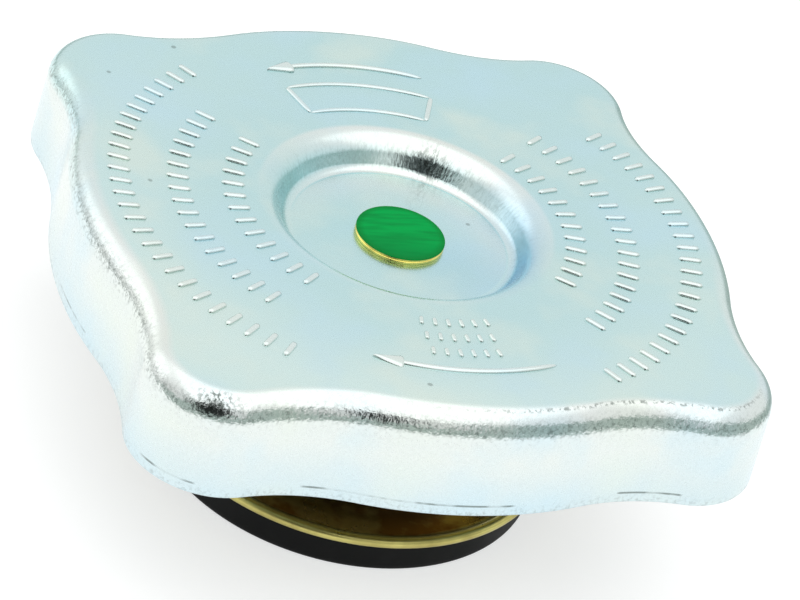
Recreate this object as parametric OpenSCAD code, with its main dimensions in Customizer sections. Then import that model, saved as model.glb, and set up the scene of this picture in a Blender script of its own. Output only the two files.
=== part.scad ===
// Radiator cap: a four-lobed pressed cover, a valve carrier that swivels on the rivet,
// a sprung pressure valve and a vacuum valve inside it.
// Millimetres, +Z up, origin on the axis in the sealing face of the valve gasket.

/* [Cover] */
// Width of the cover across two opposite sides, at the shoulder
cover_w = 75; // [72:0.5:80]
// Reach of a corner lobe from the axis
corner_reach = 46.3; // [44:0.1:50]
// Radius of a corner lobe
corner_r = 8.7; // [6:0.1:10]
// Radius of the outward bow in the middle of a side
side_bow_r = 46.1; // [40:0.1:56]
// Radius of the hollow between a bow and a lobe
waist_r = 26.8; // [22:0.1:36]
// Thickness of the pressed sheet
sheet_t = 1; // [0.8:0.05:1.3]
// Height of the skirt, from its edge to the top of the shoulder
skirt_h = 12.7; // [10:0.1:15]
// Outer radius of the shoulder between the top and the skirt
shoulder_r = 3; // [2.4:0.1:4]
// How far the skirt's edge stands out past the shoulder
skirt_flare = 0.4; // [0.1:0.1:1.5]
// How far the top sinks from the shoulder to the dish
top_sink = 0.7; // [0.2:0.1:1.5]
// How far the shoulder falls from the middle of a side to a corner lobe
lobe_fall = 0.8; // [0:0.1:1.5]

/* [Dish] */
// Radius at which the top starts to bend into the dish
dish_rim_r = 17.2; // [16:0.1:20]
// Slope of the dish wall, in degrees
dish_wall_a = 60; // [50:1:70]
// Depth of the dish
dish_depth = 3.5; // [3.2:0.1:5]
// Radius of the bend at the rim, in the middle of the sheet
rim_bend_r = 3; // [2:0.1:3.4]
// Radius of the bend at the floor, in the middle of the sheet
floor_bend_r = 1.8; // [1:0.1:2]

/* [Cam lugs] */
// Width of a cam lug along the side it is folded from
lug_w = 18; // [10:1:24]
// Reach of a cam lug inwards from the skirt
lug_reach = 5; // [3:0.5:6]
// Thickness of a cam lug
lug_t = 1.2; // [0.8:0.1:2]
// Size of the lead-in cut off a lug's two free corners
lug_lead = 2; // [0.5:0.5:2.5]
// Height of a lug's underside over the skirt's edge
lug_lift = 0.4; // [0.2:0.1:1.5]

/* [Rivet] */
// Radius of the rivet's shank
rivet_r = 3; // [2:0.1:4]
// Radius of the rivet's flat head
rivet_head_r = 5.1; // [4.8:0.05:8]
// Thickness of the rivet's head
rivet_head_t = 0.7; // [0.5:0.1:2]
// Width of the edge break around the rivet's head
rivet_edge = 0.2; // [0.1:0.05:0.4]
// Radius of the rivet's formed tail
rivet_tail_r = 4.8; // [4.4:0.1:7]
// Thickness of the rivet's formed tail
rivet_tail_t = 1.6; // [1:0.1:3]

/* [Swivel] */
// Radial play of the carrier's holes on the rivet
swivel_clear = 0.05; // [0.02:0.01:0.1]
// Play of the carrier along the rivet, at each end
swivel_play = 0.05; // [0.02:0.01:0.2]
// Outer radius of the washer under the dish
washer_r = 9; // [6:0.5:12]
// Thickness of the washer under the dish
washer_t = 0.75; // [0.5:0.05:1.5]

/* [Neck seal] */
// Distance between the two sealing faces, which is the depth of the filler neck
seat_depth = 25; // [23:0.5:30]
// Inner radius of the neck gasket
neck_seal_in_r = 25.6; // [25:0.1:27]
// Outer radius of the neck gasket
neck_seal_out_r = 32; // [30:0.5:33]
// Thickness of the neck gasket
neck_seal_t = 1.6; // [1:0.1:2.5]
// Thickness of the diaphragm
diaphragm_t = 0.4; // [0.3:0.05:0.8]
// Rise of the diaphragm from its outer ring to its middle
diaphragm_rise = 0.5; // [0.2:0.1:1.5]
// Edge of the diaphragm outside the neck gasket
diaphragm_edge = 0.5; // [0.2:0.1:1]
// Edge of the diaphragm's outer ring inside the neck gasket
diaphragm_step_in = 0.8; // [0.3:0.1:2]

/* [Spring housing] */
// Outer radius of the spring housing
housing_r = 13; // [12:0.1:14]
// Sheet of the spring housing
housing_t = 0.8; // [0.6:0.05:1.1]
// Radius of the bend at the housing's top, outside
housing_bend_r = 1.6; // [1.2:0.1:2.5]
// Count of flow windows around the housing
window_count = 4; // [2:1:6]
// Width of a flow window
window_w = 7; // [4:0.5:9]
// Height of a flow window
window_h = 7; // [4:0.5:8]

/* [Pressure spring] */
// Wire of the pressure spring
spring_wire = 2.2; // [1.6:0.1:2.6]
// Turns of the pressure spring, with its two closed end turns
spring_turns = 5.5; // [4.5:0.5:6]
// Radial room between the housing and the spring
spring_clear = 0.7; // [0.4:0.1:1]
// Thickness of the spring seat
seat_t = 0.8; // [0.5:0.1:1.2]
// Depth of the spring seat's turned rim
seat_rim_h = 2; // [1:0.1:4]
// Radial room between the spring and the seat's rim
seat_clear = 0.4; // [0.2:0.1:0.8]

/* [Pressure valve] */
// Travel of the pressure valve
valve_lift = 5; // [3:0.5:7]
// Room left between the valve plate and the housing at full lift
lift_margin = 0.8; // [0.4:0.1:2]
// Outer radius of the valve plate over its rolled rim
plate_r = 23.9; // [23.6:0.1:24.6]
// Sheet of the valve plate
plate_t = 0.8; // [0.6:0.05:1.2]
// Radius of the rolled rim's section
plate_bead_r = 0.65; // [0.6:0.05:1]
// Height of the rolled rim's centre over the plate's underside
plate_bead_z = 0.7; // [0.65:0.05:1]
// Outer radius of the valve gasket
gasket_r = 22.8; // [21:0.1:23.5]
// Height of the valve gasket
gasket_h = 3.9; // [3.7:0.1:6]
// Radius of the gasket's lower outer corner
gasket_corner_r = 0.8; // [0.3:0.1:1.5]
// Thickness of the gasket where the retainer clamps it
gasket_web_t = 2; // [1.5:0.1:2.2]
// Radius of the gasket retainer
retainer_r = 15.8; // [13:0.1:17]
// Thickness of the gasket retainer
retainer_t = 0.8; // [0.5:0.05:1]
// Radial room around the gasket retainer
retainer_clear = 0.4; // [0.2:0.1:0.8]
// Radius of the hub's neck, which slides in the housing's lip
hub_neck_r = 9.9; // [9.4:0.1:10.6]
// Radial play of the hub's neck in the housing's lip
hub_clear = 0.05; // [0.02:0.01:0.1]
// Step from the hub's neck to the spigot that holds the plate
hub_step = 0.9; // [0.5:0.1:1]
// Radius of the hub's bore
hub_bore_r = 7.5; // [7.2:0.1:7.8]
// Thickness of the hub's flange inside the housing
hub_flange_t = 1.2; // [0.8:0.1:2]
// Radial room around the hub's flange
hub_flange_clear = 0.3; // [0.2:0.05:0.6]
// Play between the hub's flange and the housing's lip at rest
hang_gap = 0.05; // [0.02:0.01:0.1]
// Width of the collar staked over the retainer
stake_w = 1.2; // [0.6:0.1:2]
// Thickness of the collar staked over the retainer
stake_t = 0.6; // [0.4:0.05:0.8]

/* [Vacuum valve] */
// Travel of the vacuum valve
vacuum_lift = 1.5; // [1:0.1:2]
// Height of the open vacuum valve over the gasket's sealing face
vacuum_margin = 0.4; // [0.2:0.1:0.8]
// Radius of the vacuum valve's disc
vacuum_r = 7; // [6.5:0.1:7.1]
// Thickness of the vacuum valve's disc
vacuum_t = 0.8; // [0.5:0.1:1]
// Radius of the vacuum seal
vacuum_seal_r = 6.8; // [6.3:0.1:7]
// Thickness of the vacuum seal
vacuum_seal_t = 1; // [0.8:0.1:1.5]
// Thickness of the web across the hub that the vacuum valve closes on
web_t = 1.2; // [0.8:0.1:2]
// Radius of the vacuum valve's stem
stem_r = 1.5; // [1.2:0.05:1.7]
// Radial play of the stem in the web
stem_clear = 0.05; // [0.02:0.01:0.1]
// Count of vent holes through the web
vent_count = 6; // [3:1:6]
// Radius of a vent hole
vent_r = 1; // [0.6:0.1:1.2]
// Distance of the vent holes from the axis
vent_ring_r = 5; // [4.7:0.1:5.2]
// Wire of the vacuum spring
vacuum_wire = 0.6; // [0.4:0.05:0.8]
// Turns of the vacuum spring, with its two closed end turns
vacuum_turns = 5; // [4:0.5:6]
// Length of the vacuum spring with the valve closed
vacuum_spring_l = 5.1; // [4.5:0.1:6]
// Radial room between the stem and the vacuum spring
vacuum_spring_clear = 0.7; // [0.4:0.1:1]
// Radius of the clip on the stem
clip_r = 3.6; // [3.2:0.1:5]
// Thickness of the clip on the stem
clip_t = 0.6; // [0.4:0.1:1]
// End of the stem standing over the clip
stem_tip = 0.4; // [0.2:0.1:1]

/* [Hidden] */
$fn = 96;

// Heights of the pressure valve, from the sealing face upwards
plate_z = gasket_h;
plate_top = plate_z + plate_t;
retainer_top = gasket_h - gasket_web_t;
retainer_z = retainer_top - retainer_t;
stake_z = retainer_z - stake_t;
lip_z = plate_top + valve_lift + lift_margin;
flange_z = lip_z + housing_t + hang_gap;
hub_top = flange_z + hub_flange_t;

// Heights of the vacuum valve, from its open place upwards
disc_z = vacuum_lift + vacuum_margin;
seal_z = disc_z + vacuum_t;
web_z = seal_z + vacuum_seal_t;
web_top = web_z + web_t;
clip_z = web_top + vacuum_spring_l;
stem_top = clip_z + clip_t + stem_tip;

// Heights of the stack on the rivet, from the neck's sealing face upwards
ring_z = seat_depth + neck_seal_t;
diaphragm_z = ring_z + diaphragm_rise;
diaphragm_top = diaphragm_z + diaphragm_t;
washer_z = diaphragm_top + swivel_play;
floor_z = washer_z + washer_t;
floor_top = floor_z + sheet_t;
crown_z = floor_top + dish_depth;
top_z = crown_z + top_sink;
skirt_z = top_z - skirt_h;
lug_z = skirt_z + lug_lift;
seat_z = diaphragm_z - seat_t;
housing_top = seat_z;
tail_top = housing_top - housing_t - swivel_play;
tail_z = tail_top - rivet_tail_t;

// Radii that follow from a neighbour
half_w = cover_w / 2;
swivel_r = rivet_r + swivel_clear;
spring_in_r = housing_r + spring_clear;
spring_mid_r = spring_in_r + spring_wire / 2;
seat_rim_in_r = spring_in_r + spring_wire + seat_clear;
seat_r = seat_rim_in_r + seat_t;
diaphragm_flat_r = seat_r + diaphragm_step_in;
ring_in_r = neck_seal_in_r - diaphragm_step_in;
diaphragm_r = neck_seal_out_r + diaphragm_edge;
housing_in_r = housing_r - housing_t;
hub_flange_r = housing_in_r - hub_flange_clear;
spigot_r = hub_neck_r - hub_step;
stem_hole_r = stem_r + stem_clear;
vacuum_mid_r = stem_r + vacuum_spring_clear + vacuum_wire / 2;
lug_in_r = half_w - sheet_t - lug_reach;

// The lobed top starts outside the dish's rim, and the dish's flat ring laps into it
join_r = dish_rim_r + 4;
join_lap = 2;
lap_r = join_r + join_lap;

// Steps along each arc of the outline and around the shoulder
bow_steps = 8;
waist_steps = 6;
lobe_steps = 12;
shoulder_steps = 6;
bend_steps = 6;

// Centres of the outline's arcs, and the angles at which they meet
bow_c = [half_w - side_bow_r, 0];
lobe_c = (corner_reach - corner_r) * [cos(45), sin(45)];
to_lobe = lobe_c - bow_c;
lobe_dist = norm(to_lobe);
lobe_dir = to_lobe / lobe_dist;
bow_dist = side_bow_r + waist_r;
waist_along = (bow_dist ^ 2 - (corner_r + waist_r) ^ 2 + lobe_dist ^ 2) / (2 * lobe_dist);
waist_out = sqrt(bow_dist ^ 2 - waist_along ^ 2);
waist_c = bow_c + waist_along * lobe_dir + waist_out * [lobe_dir[1], -lobe_dir[0]];
bow_a = atan2(waist_c[1] - bow_c[1], waist_c[0] - bow_c[0]);
waist_a = atan2(lobe_c[1] - waist_c[1], lobe_c[0] - waist_c[0]);

// Straight length of the dish wall between its two bends, and its run from rim to floor, measured level
bends = rim_bend_r + floor_bend_r;
wall_l = (dish_depth - bends * (1 - cos(dish_wall_a))) / sin(dish_wall_a);
wall_run = bends * sin(dish_wall_a) + wall_l * cos(dish_wall_a);

// Points along an arc about c, from angle a0 up to but not at angle a1
function arc(c, r, a0, a1, steps) =
    [for (i = [0 : steps - 1]) let (a = a0 + (a1 - a0) * i / steps) c + r * [cos(a), sin(a)]];

function turned(p, a) = [p[0] * cos(a) - p[1] * sin(a), p[0] * sin(a) + p[1] * cos(a)];

function swapped(p) = [p[1], p[0]];

// A quarter of the outline at inset d: bow, waist, lobe, and the waist mirrored
function quarter(d) = concat(
    arc(bow_c, side_bow_r - d, -bow_a, bow_a, bow_steps),
    arc(waist_c, waist_r + d, bow_a + 180, waist_a, waist_steps),
    arc(lobe_c, corner_r - d, waist_a - 180, 270 - waist_a, lobe_steps),
    arc(swapped(waist_c), waist_r + d, 90 - waist_a, -90 - bow_a, waist_steps));

function outline(d) = [for (k = [0 : 3]) for (p = quarter(d)) turned(p, 90 * k)];

// A circle whose points lie at the outline's own angles
function circle_at(r) = [for (p = outline(0)) r * p / norm(p)];

// A ring at height z, lower by fall at the corner lobes and not at all in the middle of a side
function lifted(ring, z, fall = 0) =
    [for (p = ring) [p[0], p[1], z - fall * sin(2 * atan2(p[1], p[0])) ^ 4]];

// A skin through closed rings of equal length, closed from the last ring to the first
module loft(rings) {
    n = len(rings[0]);
    m = len(rings);
    points = [for (ring = rings) for (p = ring) p];
    faces = [for (k = [0 : m - 1]) for (i = [0 : n - 1])
        let (j = (i + 1) % n, l = (k + 1) % m)
            [k * n + i, k * n + j, l * n + j, l * n + i]];
    polyhedron(points, faces, convexity = 6);
}

// Height of the wire's centre at a given turn: slow in the two closed end turns
function coil_z(turn, turns, wire, height) =
    let (close = 1.1 * wire, open = (height - 2 * close) / (turns - 2))
        turn < 1 ? close * turn
        : turn > turns - 1 ? height - close * (turns - turn)
        : close + open * (turn - 1);

// A coil spring between two planes, its closed end turns ground down to those planes
module coil(mid_r, wire, turns, z0, z1, sides, steps) {
    half = wire / 2;
    tip = wire / 10;
    n = ceil(turns * steps);
    rings = [for (i = [0 : n])
        let (turn = turns * i / n,
             zc = z0 + tip + coil_z(turn, turns, wire, z1 - z0 - 2 * tip),
             below = min(half, zc - z0),
             above = min(half, z1 - zc))
            [for (s = [0 : sides - 1])
                let (b = 360 * s / sides, r = mid_r + half * cos(b))
                    [r * cos(360 * turn), r * sin(360 * turn),
                     zc + sin(b) * (sin(b) < 0 ? below : above)]]];
    points = [for (ring = rings) for (p = ring) p];
    walls = [for (i = [0 : n - 1]) for (s = [0 : sides - 1])
        let (t = (s + 1) % sides)
            [i * sides + s, i * sides + t, (i + 1) * sides + t, (i + 1) * sides + s]];
    start = [[for (s = [sides - 1 : -1 : 0]) s]];
    end = [[for (s = [0 : sides - 1]) n * sides + s]];
    polyhedron(points, concat(walls, start, end), convexity = 10);
}

// The round dish with its rivet hole, and the flat ring that laps into the lobed top
module dish() {
    rim_x = dish_rim_r;
    floor_x = dish_rim_r - wall_run;
    rim_c = [rim_x, crown_z - sheet_t / 2 - rim_bend_r];
    floor_c = [floor_x, floor_top - sheet_t / 2 + floor_bend_r];
    half = sheet_t / 2;
    upper = concat(
        arc(rim_c, rim_bend_r + half, 90, 90 + dish_wall_a, bend_steps),
        arc(rim_c, rim_bend_r + half, 90 + dish_wall_a, 90 + dish_wall_a + 1, 1),
        arc(floor_c, floor_bend_r - half, dish_wall_a - 90, -90, bend_steps),
        [[floor_x, floor_top]]);
    lower = concat(
        arc(floor_c, floor_bend_r + half, -90, dish_wall_a - 90, bend_steps),
        arc(floor_c, floor_bend_r + half, dish_wall_a - 90, dish_wall_a - 89, 1),
        arc(rim_c, rim_bend_r - half, 90 + dish_wall_a, 90, bend_steps),
        [[rim_x, crown_z - sheet_t]]);
    rotate_extrude()
        polygon(concat([[lap_r, crown_z]], upper, [[rivet_r, floor_top], [rivet_r, floor_z]],
            lower, [[lap_r, crown_z - sheet_t]]));
}

// The lobed top, its shoulder and its skirt, as one skin of even thickness
module lobed_skirt() {
    inner_r = shoulder_r - sheet_t;
    turns = [for (k = [0 : shoulder_steps]) 90 * k / shoulder_steps];
    outer = [for (a = turns) lifted(outline(shoulder_r * (1 - sin(a))),
        top_z - shoulder_r * (1 - cos(a)), lobe_fall)];
    inner = [for (a = turns) lifted(outline(sheet_t + inner_r * (1 - sin(90 - a))),
        top_z - sheet_t - inner_r * (1 - cos(90 - a)), lobe_fall)];
    rings = concat(
        [lifted(circle_at(join_r), crown_z), lifted(circle_at(lap_r + join_lap), crown_z)],
        outer,
        [lifted(outline(-skirt_flare), skirt_z), lifted(outline(sheet_t - skirt_flare), skirt_z)],
        inner,
        [lifted(circle_at(lap_r + join_lap), crown_z - sheet_t),
         lifted(circle_at(join_r), crown_z - sheet_t)]);
    loft(rings);
}

// A lug folded in from the skirt's edge, which hooks under the filler neck's cam
module cam_lug() {
    half = lug_w / 2;
    side = [[0, half - lug_lead], [lug_in_r, half - lug_lead], [lug_in_r + lug_lead, half], [cover_w, half]];
    translate([0, 0, lug_z])
        linear_extrude(lug_t)
            difference() {
                intersection() {
                    polygon(concat(side, [for (k = [3 : -1 : 0]) [side[k][0], -side[k][1]]]));
                    translate(bow_c)
                        circle(r = side_bow_r + skirt_flare - sheet_t / 2);
                }
                circle(r = lug_in_r);
            }
}

module cover_shell() {
    color("#CFE0E2")
        union() {
            lobed_skirt();
            dish();
            for (a = [0, 180])
                rotate([0, 0, a])
                    cam_lug();
        }
}

module rivet() {
    head_top = floor_top + rivet_head_t;
    color("#C8A83A")
        rotate_extrude()
            polygon([[0, tail_z], [rivet_tail_r - rivet_edge, tail_z], [rivet_tail_r, tail_z + rivet_edge],
                [rivet_tail_r, tail_top], [rivet_r, tail_top], [rivet_r, floor_top],
                [rivet_head_r, floor_top], [rivet_head_r, head_top - rivet_edge],
                [rivet_head_r - rivet_edge, head_top], [0, head_top]]);
}

// A flat ring between two heights
module washer(in_r, out_r, z0, z1) {
    rotate_extrude()
        translate([in_r, z0])
            square([out_r - in_r, z1 - z0]);
}

module friction_washer() {
    color("#B9A24A")
        washer(swivel_r, washer_r, washer_z, floor_z);
}

module diaphragm() {
    under = [[swivel_r, diaphragm_z], [diaphragm_flat_r, diaphragm_z], [ring_in_r, ring_z], [diaphragm_r, ring_z]];
    color("#BFA650")
        rotate_extrude()
            polygon(concat(under, [for (k = [3 : -1 : 0]) under[k] + [0, diaphragm_t]]));
}

module neck_gasket() {
    edge = neck_seal_t / 4;
    color("#1C1E1E")
        rotate_extrude()
            polygon([[neck_seal_in_r, ring_z], [neck_seal_in_r, seat_depth + edge],
                [neck_seal_in_r + edge, seat_depth], [neck_seal_out_r - edge, seat_depth],
                [neck_seal_out_r, seat_depth + edge], [neck_seal_out_r, ring_z]]);
}

module spring_seat() {
    color("#B8A04C")
        rotate_extrude()
            polygon([[swivel_r, seat_z], [seat_rim_in_r, seat_z], [seat_rim_in_r, diaphragm_z - seat_rim_h],
                [seat_r, diaphragm_z - seat_rim_h], [seat_r, diaphragm_z], [swivel_r, diaphragm_z]]);
}

// A cup turned over, with its edge crimped in to carry the hub's flange
module spring_housing() {
    lip_r = hub_neck_r + hub_clear;
    bend_in = housing_bend_r - housing_t;
    bend_c = [housing_r - housing_bend_r, housing_top - housing_bend_r];
    window_z = (lip_z + housing_top - window_h) / 2;
    color("#B79A45")
        difference() {
            rotate_extrude()
                polygon(concat(
                    [[swivel_r, housing_top - housing_t], [swivel_r, housing_top]],
                    arc(bend_c, housing_bend_r, 90, 0, bend_steps),
                    [[housing_r, bend_c[1]], [housing_r, lip_z], [lip_r, lip_z],
                     [lip_r, lip_z + housing_t], [housing_in_r, lip_z + housing_t]],
                    arc(bend_c, bend_in, 0, 90, bend_steps),
                    [[bend_c[0], housing_top - housing_t]]));
            for (k = [0 : window_count - 1])
                rotate([0, 0, 360 * (k + 0.5) / window_count])
                    translate([housing_in_r - housing_r / 4, -window_w / 2, window_z])
                        cube([housing_r / 2, window_w, window_h]);
        }
}

module pressure_spring() {
    color("#9A9C9C")
        coil(spring_mid_r, spring_wire, spring_turns, plate_top, seat_z, 8, 24);
}

// A turned spool: the flange hangs in the housing, the web guides the vacuum valve
module valve_hub() {
    color("#BC9E44")
        difference() {
            rotate_extrude()
                polygon([[stem_hole_r, web_z], [hub_bore_r, web_z], [hub_bore_r, stake_z],
                    [spigot_r + stake_w, stake_z], [spigot_r + stake_w, retainer_z], [spigot_r, retainer_z],
                    [spigot_r, plate_top], [hub_neck_r, plate_top], [hub_neck_r, flange_z],
                    [hub_flange_r, flange_z], [hub_flange_r, hub_top], [hub_bore_r, hub_top],
                    [hub_bore_r, web_top], [stem_hole_r, web_top]]);
            for (k = [0 : vent_count - 1])
                rotate([0, 0, 360 * k / vent_count])
                    translate([vent_ring_r, 0, web_z - web_t])
                        cylinder(r = vent_r, h = 3 * web_t, $fn = 32);
        }
}

// A flat brass dish with its rim rolled up and over
module valve_plate() {
    bead_x = plate_r - plate_bead_r;
    color("#AAA050")
        rotate_extrude()
            union() {
                translate([spigot_r, plate_z])
                    square([bead_x - plate_bead_r / 3 - spigot_r, plate_t]);
                translate([bead_x, plate_z + plate_bead_z])
                    circle(r = plate_bead_r, $fn = 32);
            }
}

module valve_gasket() {
    recess_r = retainer_r + retainer_clear;
    corner_c = [gasket_r - gasket_corner_r, gasket_corner_r];
    color("#141616")
        rotate_extrude()
            polygon(concat(
                [[spigot_r, gasket_h], [spigot_r, retainer_top], [recess_r, retainer_top], [recess_r, 0]],
                arc(corner_c, gasket_corner_r, -90, 0, bend_steps),
                [[gasket_r, gasket_corner_r], [gasket_r, gasket_h]]));
}

module gasket_retainer() {
    color("#B79A45")
        washer(spigot_r, retainer_r, retainer_z, retainer_top);
}

module vacuum_valve() {
    color("#BFA14A")
        rotate_extrude()
            polygon([[0, disc_z], [vacuum_r, disc_z], [vacuum_r, seal_z], [stem_r, seal_z],
                [stem_r, stem_top], [0, stem_top]]);
}

module vacuum_seal() {
    color("#1A1C1C")
        washer(stem_r, vacuum_seal_r, seal_z, web_z);
}

module vacuum_spring() {
    color("#A5A7A7")
        coil(vacuum_mid_r, vacuum_wire, vacuum_turns, web_top, clip_z, 6, 16);
}

module vacuum_clip() {
    color("#A8AAAA")
        washer(stem_r, clip_r, clip_z, clip_z + clip_t);
}

cover_shell();
rivet();
friction_washer();
diaphragm();
neck_gasket();
spring_seat();
spring_housing();
pressure_spring();
valve_hub();
valve_plate();
valve_gasket();
gasket_retainer();
vacuum_valve();
vacuum_seal();
vacuum_spring();
vacuum_clip();
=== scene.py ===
"""Looks of a radiator cap, built over its packed CAD frame.

The cover is one pressed skin whose section is carried along the four-lobed outline. The round pieces are
sections turned about the Z axis, and the springs are round wire carried along a helix. Metres, +Z up.
"""

import math

import bpy
import numpy as np
from bpy.props import FloatProperty, FloatVectorProperty, IntProperty, PointerProperty
from mathutils import Matrix, Vector


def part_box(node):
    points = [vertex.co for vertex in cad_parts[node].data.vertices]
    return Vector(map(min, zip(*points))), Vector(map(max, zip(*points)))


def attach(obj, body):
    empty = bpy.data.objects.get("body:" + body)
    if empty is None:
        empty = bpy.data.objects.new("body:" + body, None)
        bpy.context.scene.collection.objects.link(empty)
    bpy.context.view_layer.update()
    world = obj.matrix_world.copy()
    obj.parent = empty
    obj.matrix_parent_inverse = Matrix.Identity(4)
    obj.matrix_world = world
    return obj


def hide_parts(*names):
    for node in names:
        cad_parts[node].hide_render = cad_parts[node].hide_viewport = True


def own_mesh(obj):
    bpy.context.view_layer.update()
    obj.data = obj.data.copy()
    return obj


bl_info = {
    "name": "Radiator cap",
    "version": (1, 0, 0),
    "blender": (4, 5, 0),
    "location": "View3D > Sidebar > Radiator cap",
    "description": "Builds the looks of a radiator cap over its CAD frame",
    "category": "Mesh",
}

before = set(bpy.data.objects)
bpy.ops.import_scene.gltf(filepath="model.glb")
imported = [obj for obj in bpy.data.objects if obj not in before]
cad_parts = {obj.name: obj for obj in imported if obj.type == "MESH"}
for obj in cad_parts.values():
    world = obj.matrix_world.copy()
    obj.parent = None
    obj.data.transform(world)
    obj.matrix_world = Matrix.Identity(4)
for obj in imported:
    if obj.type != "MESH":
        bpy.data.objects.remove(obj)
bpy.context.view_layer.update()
MM = 0.001
PI = math.pi
COVER_LOW, COVER_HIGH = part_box("cover_shell")
RIVET_LOW, RIVET_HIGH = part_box("rivet")
FLARE = 0.4 * MM
# Brass sheet of the seat, housing and plate, and the radii that several pieces share
SHEET = 0.8 * MM
BORE_R = 3.05 * MM
HUB_R = 9.0 * MM
STEM_R = 1.5 * MM
# Distance of the cards from the axis, and height of those on the floor
CARD_R = 1.2
CARD_Z = 0.003
# Half of white, in linear light
NEUTRAL = (0.5, 0.5, 0.5, 1)


# Properties: the sizes and colours a user would change


def linear(code):
    """A colour written as sRGB hex, turned to linear light."""
    s = np.array([int(code[k : k + 2], 16) for k in (1, 3, 5)]) / 255
    light = np.where(s <= 0.04045, s / 12.92, ((s + 0.055) / 1.055) ** 2.4)
    return tuple(float(x) for x in light)


def size(name, default, description):
    """A length property in metres."""
    return FloatProperty(
        name=name, description=description, default=default, min=0.0, precision=5, unit="LENGTH"
    )


def tint(name, code, description):
    """A colour property given as sRGB hex."""
    return FloatVectorProperty(
        name=name, description=description, default=linear(code), min=0.0, max=1.0, size=3, subtype="COLOR"
    )


class CoverSizes(bpy.types.PropertyGroup):
    """Sizes of the pressed cover."""

    flare: size("Skirt flare", FLARE, "How far the skirt's edge stands out past the shoulder")
    half_width: size("Half width", COVER_HIGH.y - FLARE, "From the axis to the middle of a side")
    side_bow_r: size("Side bow", 46.1 * MM, "Radius of the outward bow in the middle of a side")
    corner_reach: size("Corner reach", 46.3 * MM, "Reach of a corner lobe from the axis")
    corner_r: size("Corner lobe", 8.7 * MM, "Radius of a corner lobe")
    waist_r: size("Waist", 26.8 * MM, "Radius of the hollow between a bow and a lobe")
    sheet: size("Sheet", 1.0 * MM, "Thickness of the pressed sheet")
    shoulder_r: size("Shoulder", 3.0 * MM, "Outer radius of the shoulder")
    top_sink: size("Top sink", 0.7 * MM, "How far the top sinks from the shoulder to the dish")
    lobe_fall: size("Lobe fall", 0.8 * MM, "How far the shoulder falls from a side to a lobe")
    flat_r: size("Flat ring", 25.2 * MM, "Radius of the flat ring around the dish")
    dish_rim_r: size("Dish rim", 17.2 * MM, "Radius at which the top bends into the dish")
    dish_wall_a: FloatProperty(
        name="Dish wall", description="Slope of the dish wall", default=math.radians(60), subtype="ANGLE"
    )
    dish_depth: size("Dish depth", 3.5 * MM, "Depth of the dish")
    rim_bend_r: size("Rim bend", 3.0 * MM, "Radius of the bend at the rim, in the middle of the sheet")
    floor_bend_r: size("Floor bend", 1.8 * MM, "Radius of the bend at the floor, in the middle of the sheet")
    hole_r: size("Rivet hole", 3.0 * MM, "Radius of the rivet hole")


class MarkSizes(bpy.types.PropertyGroup):
    """Sizes of the raised marks on the top."""

    arrow_r: size("Arrow radius", 28.8 * MM, "Distance of the turn arrows from the axis")
    arrow_w: size("Arrow line", 0.4 * MM, "Half the width of an arrow's line")
    head_w: size("Arrow head", 1.25 * MM, "Half the width of an arrow's head")
    rib_l: size("Rib length", 2.8 * MM, "Length of a long rib")
    short_l: size("Short rib", 1.3 * MM, "Length of a short rib")
    rib_w: size("Rib width", 0.38 * MM, "Half the width of a raised rib")
    rib_pitch: size("Rib pitch", 2.3 * MM, "Distance from rib to rib along its arc")
    rise: size("Rise", 0.32 * MM, "Height of the marks over the top")


class ValveSizes(bpy.types.PropertyGroup):
    """Sizes of the valve and its springs."""

    edge: size("Edge break", 0.12 * MM, "Rounding of turned and pressed edges")
    bead_r: size("Rolled rim", 0.65 * MM, "Radius of the valve plate's rolled rim")
    wire: size("Spring wire", 2.2 * MM, "Wire of the pressure spring")
    turns: FloatProperty(
        name="Spring turns", description="Turns of the pressure spring", default=5.5, min=3.0
    )
    windows: IntProperty(name="Windows", description="Flow windows around the housing", default=4, min=2)


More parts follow.
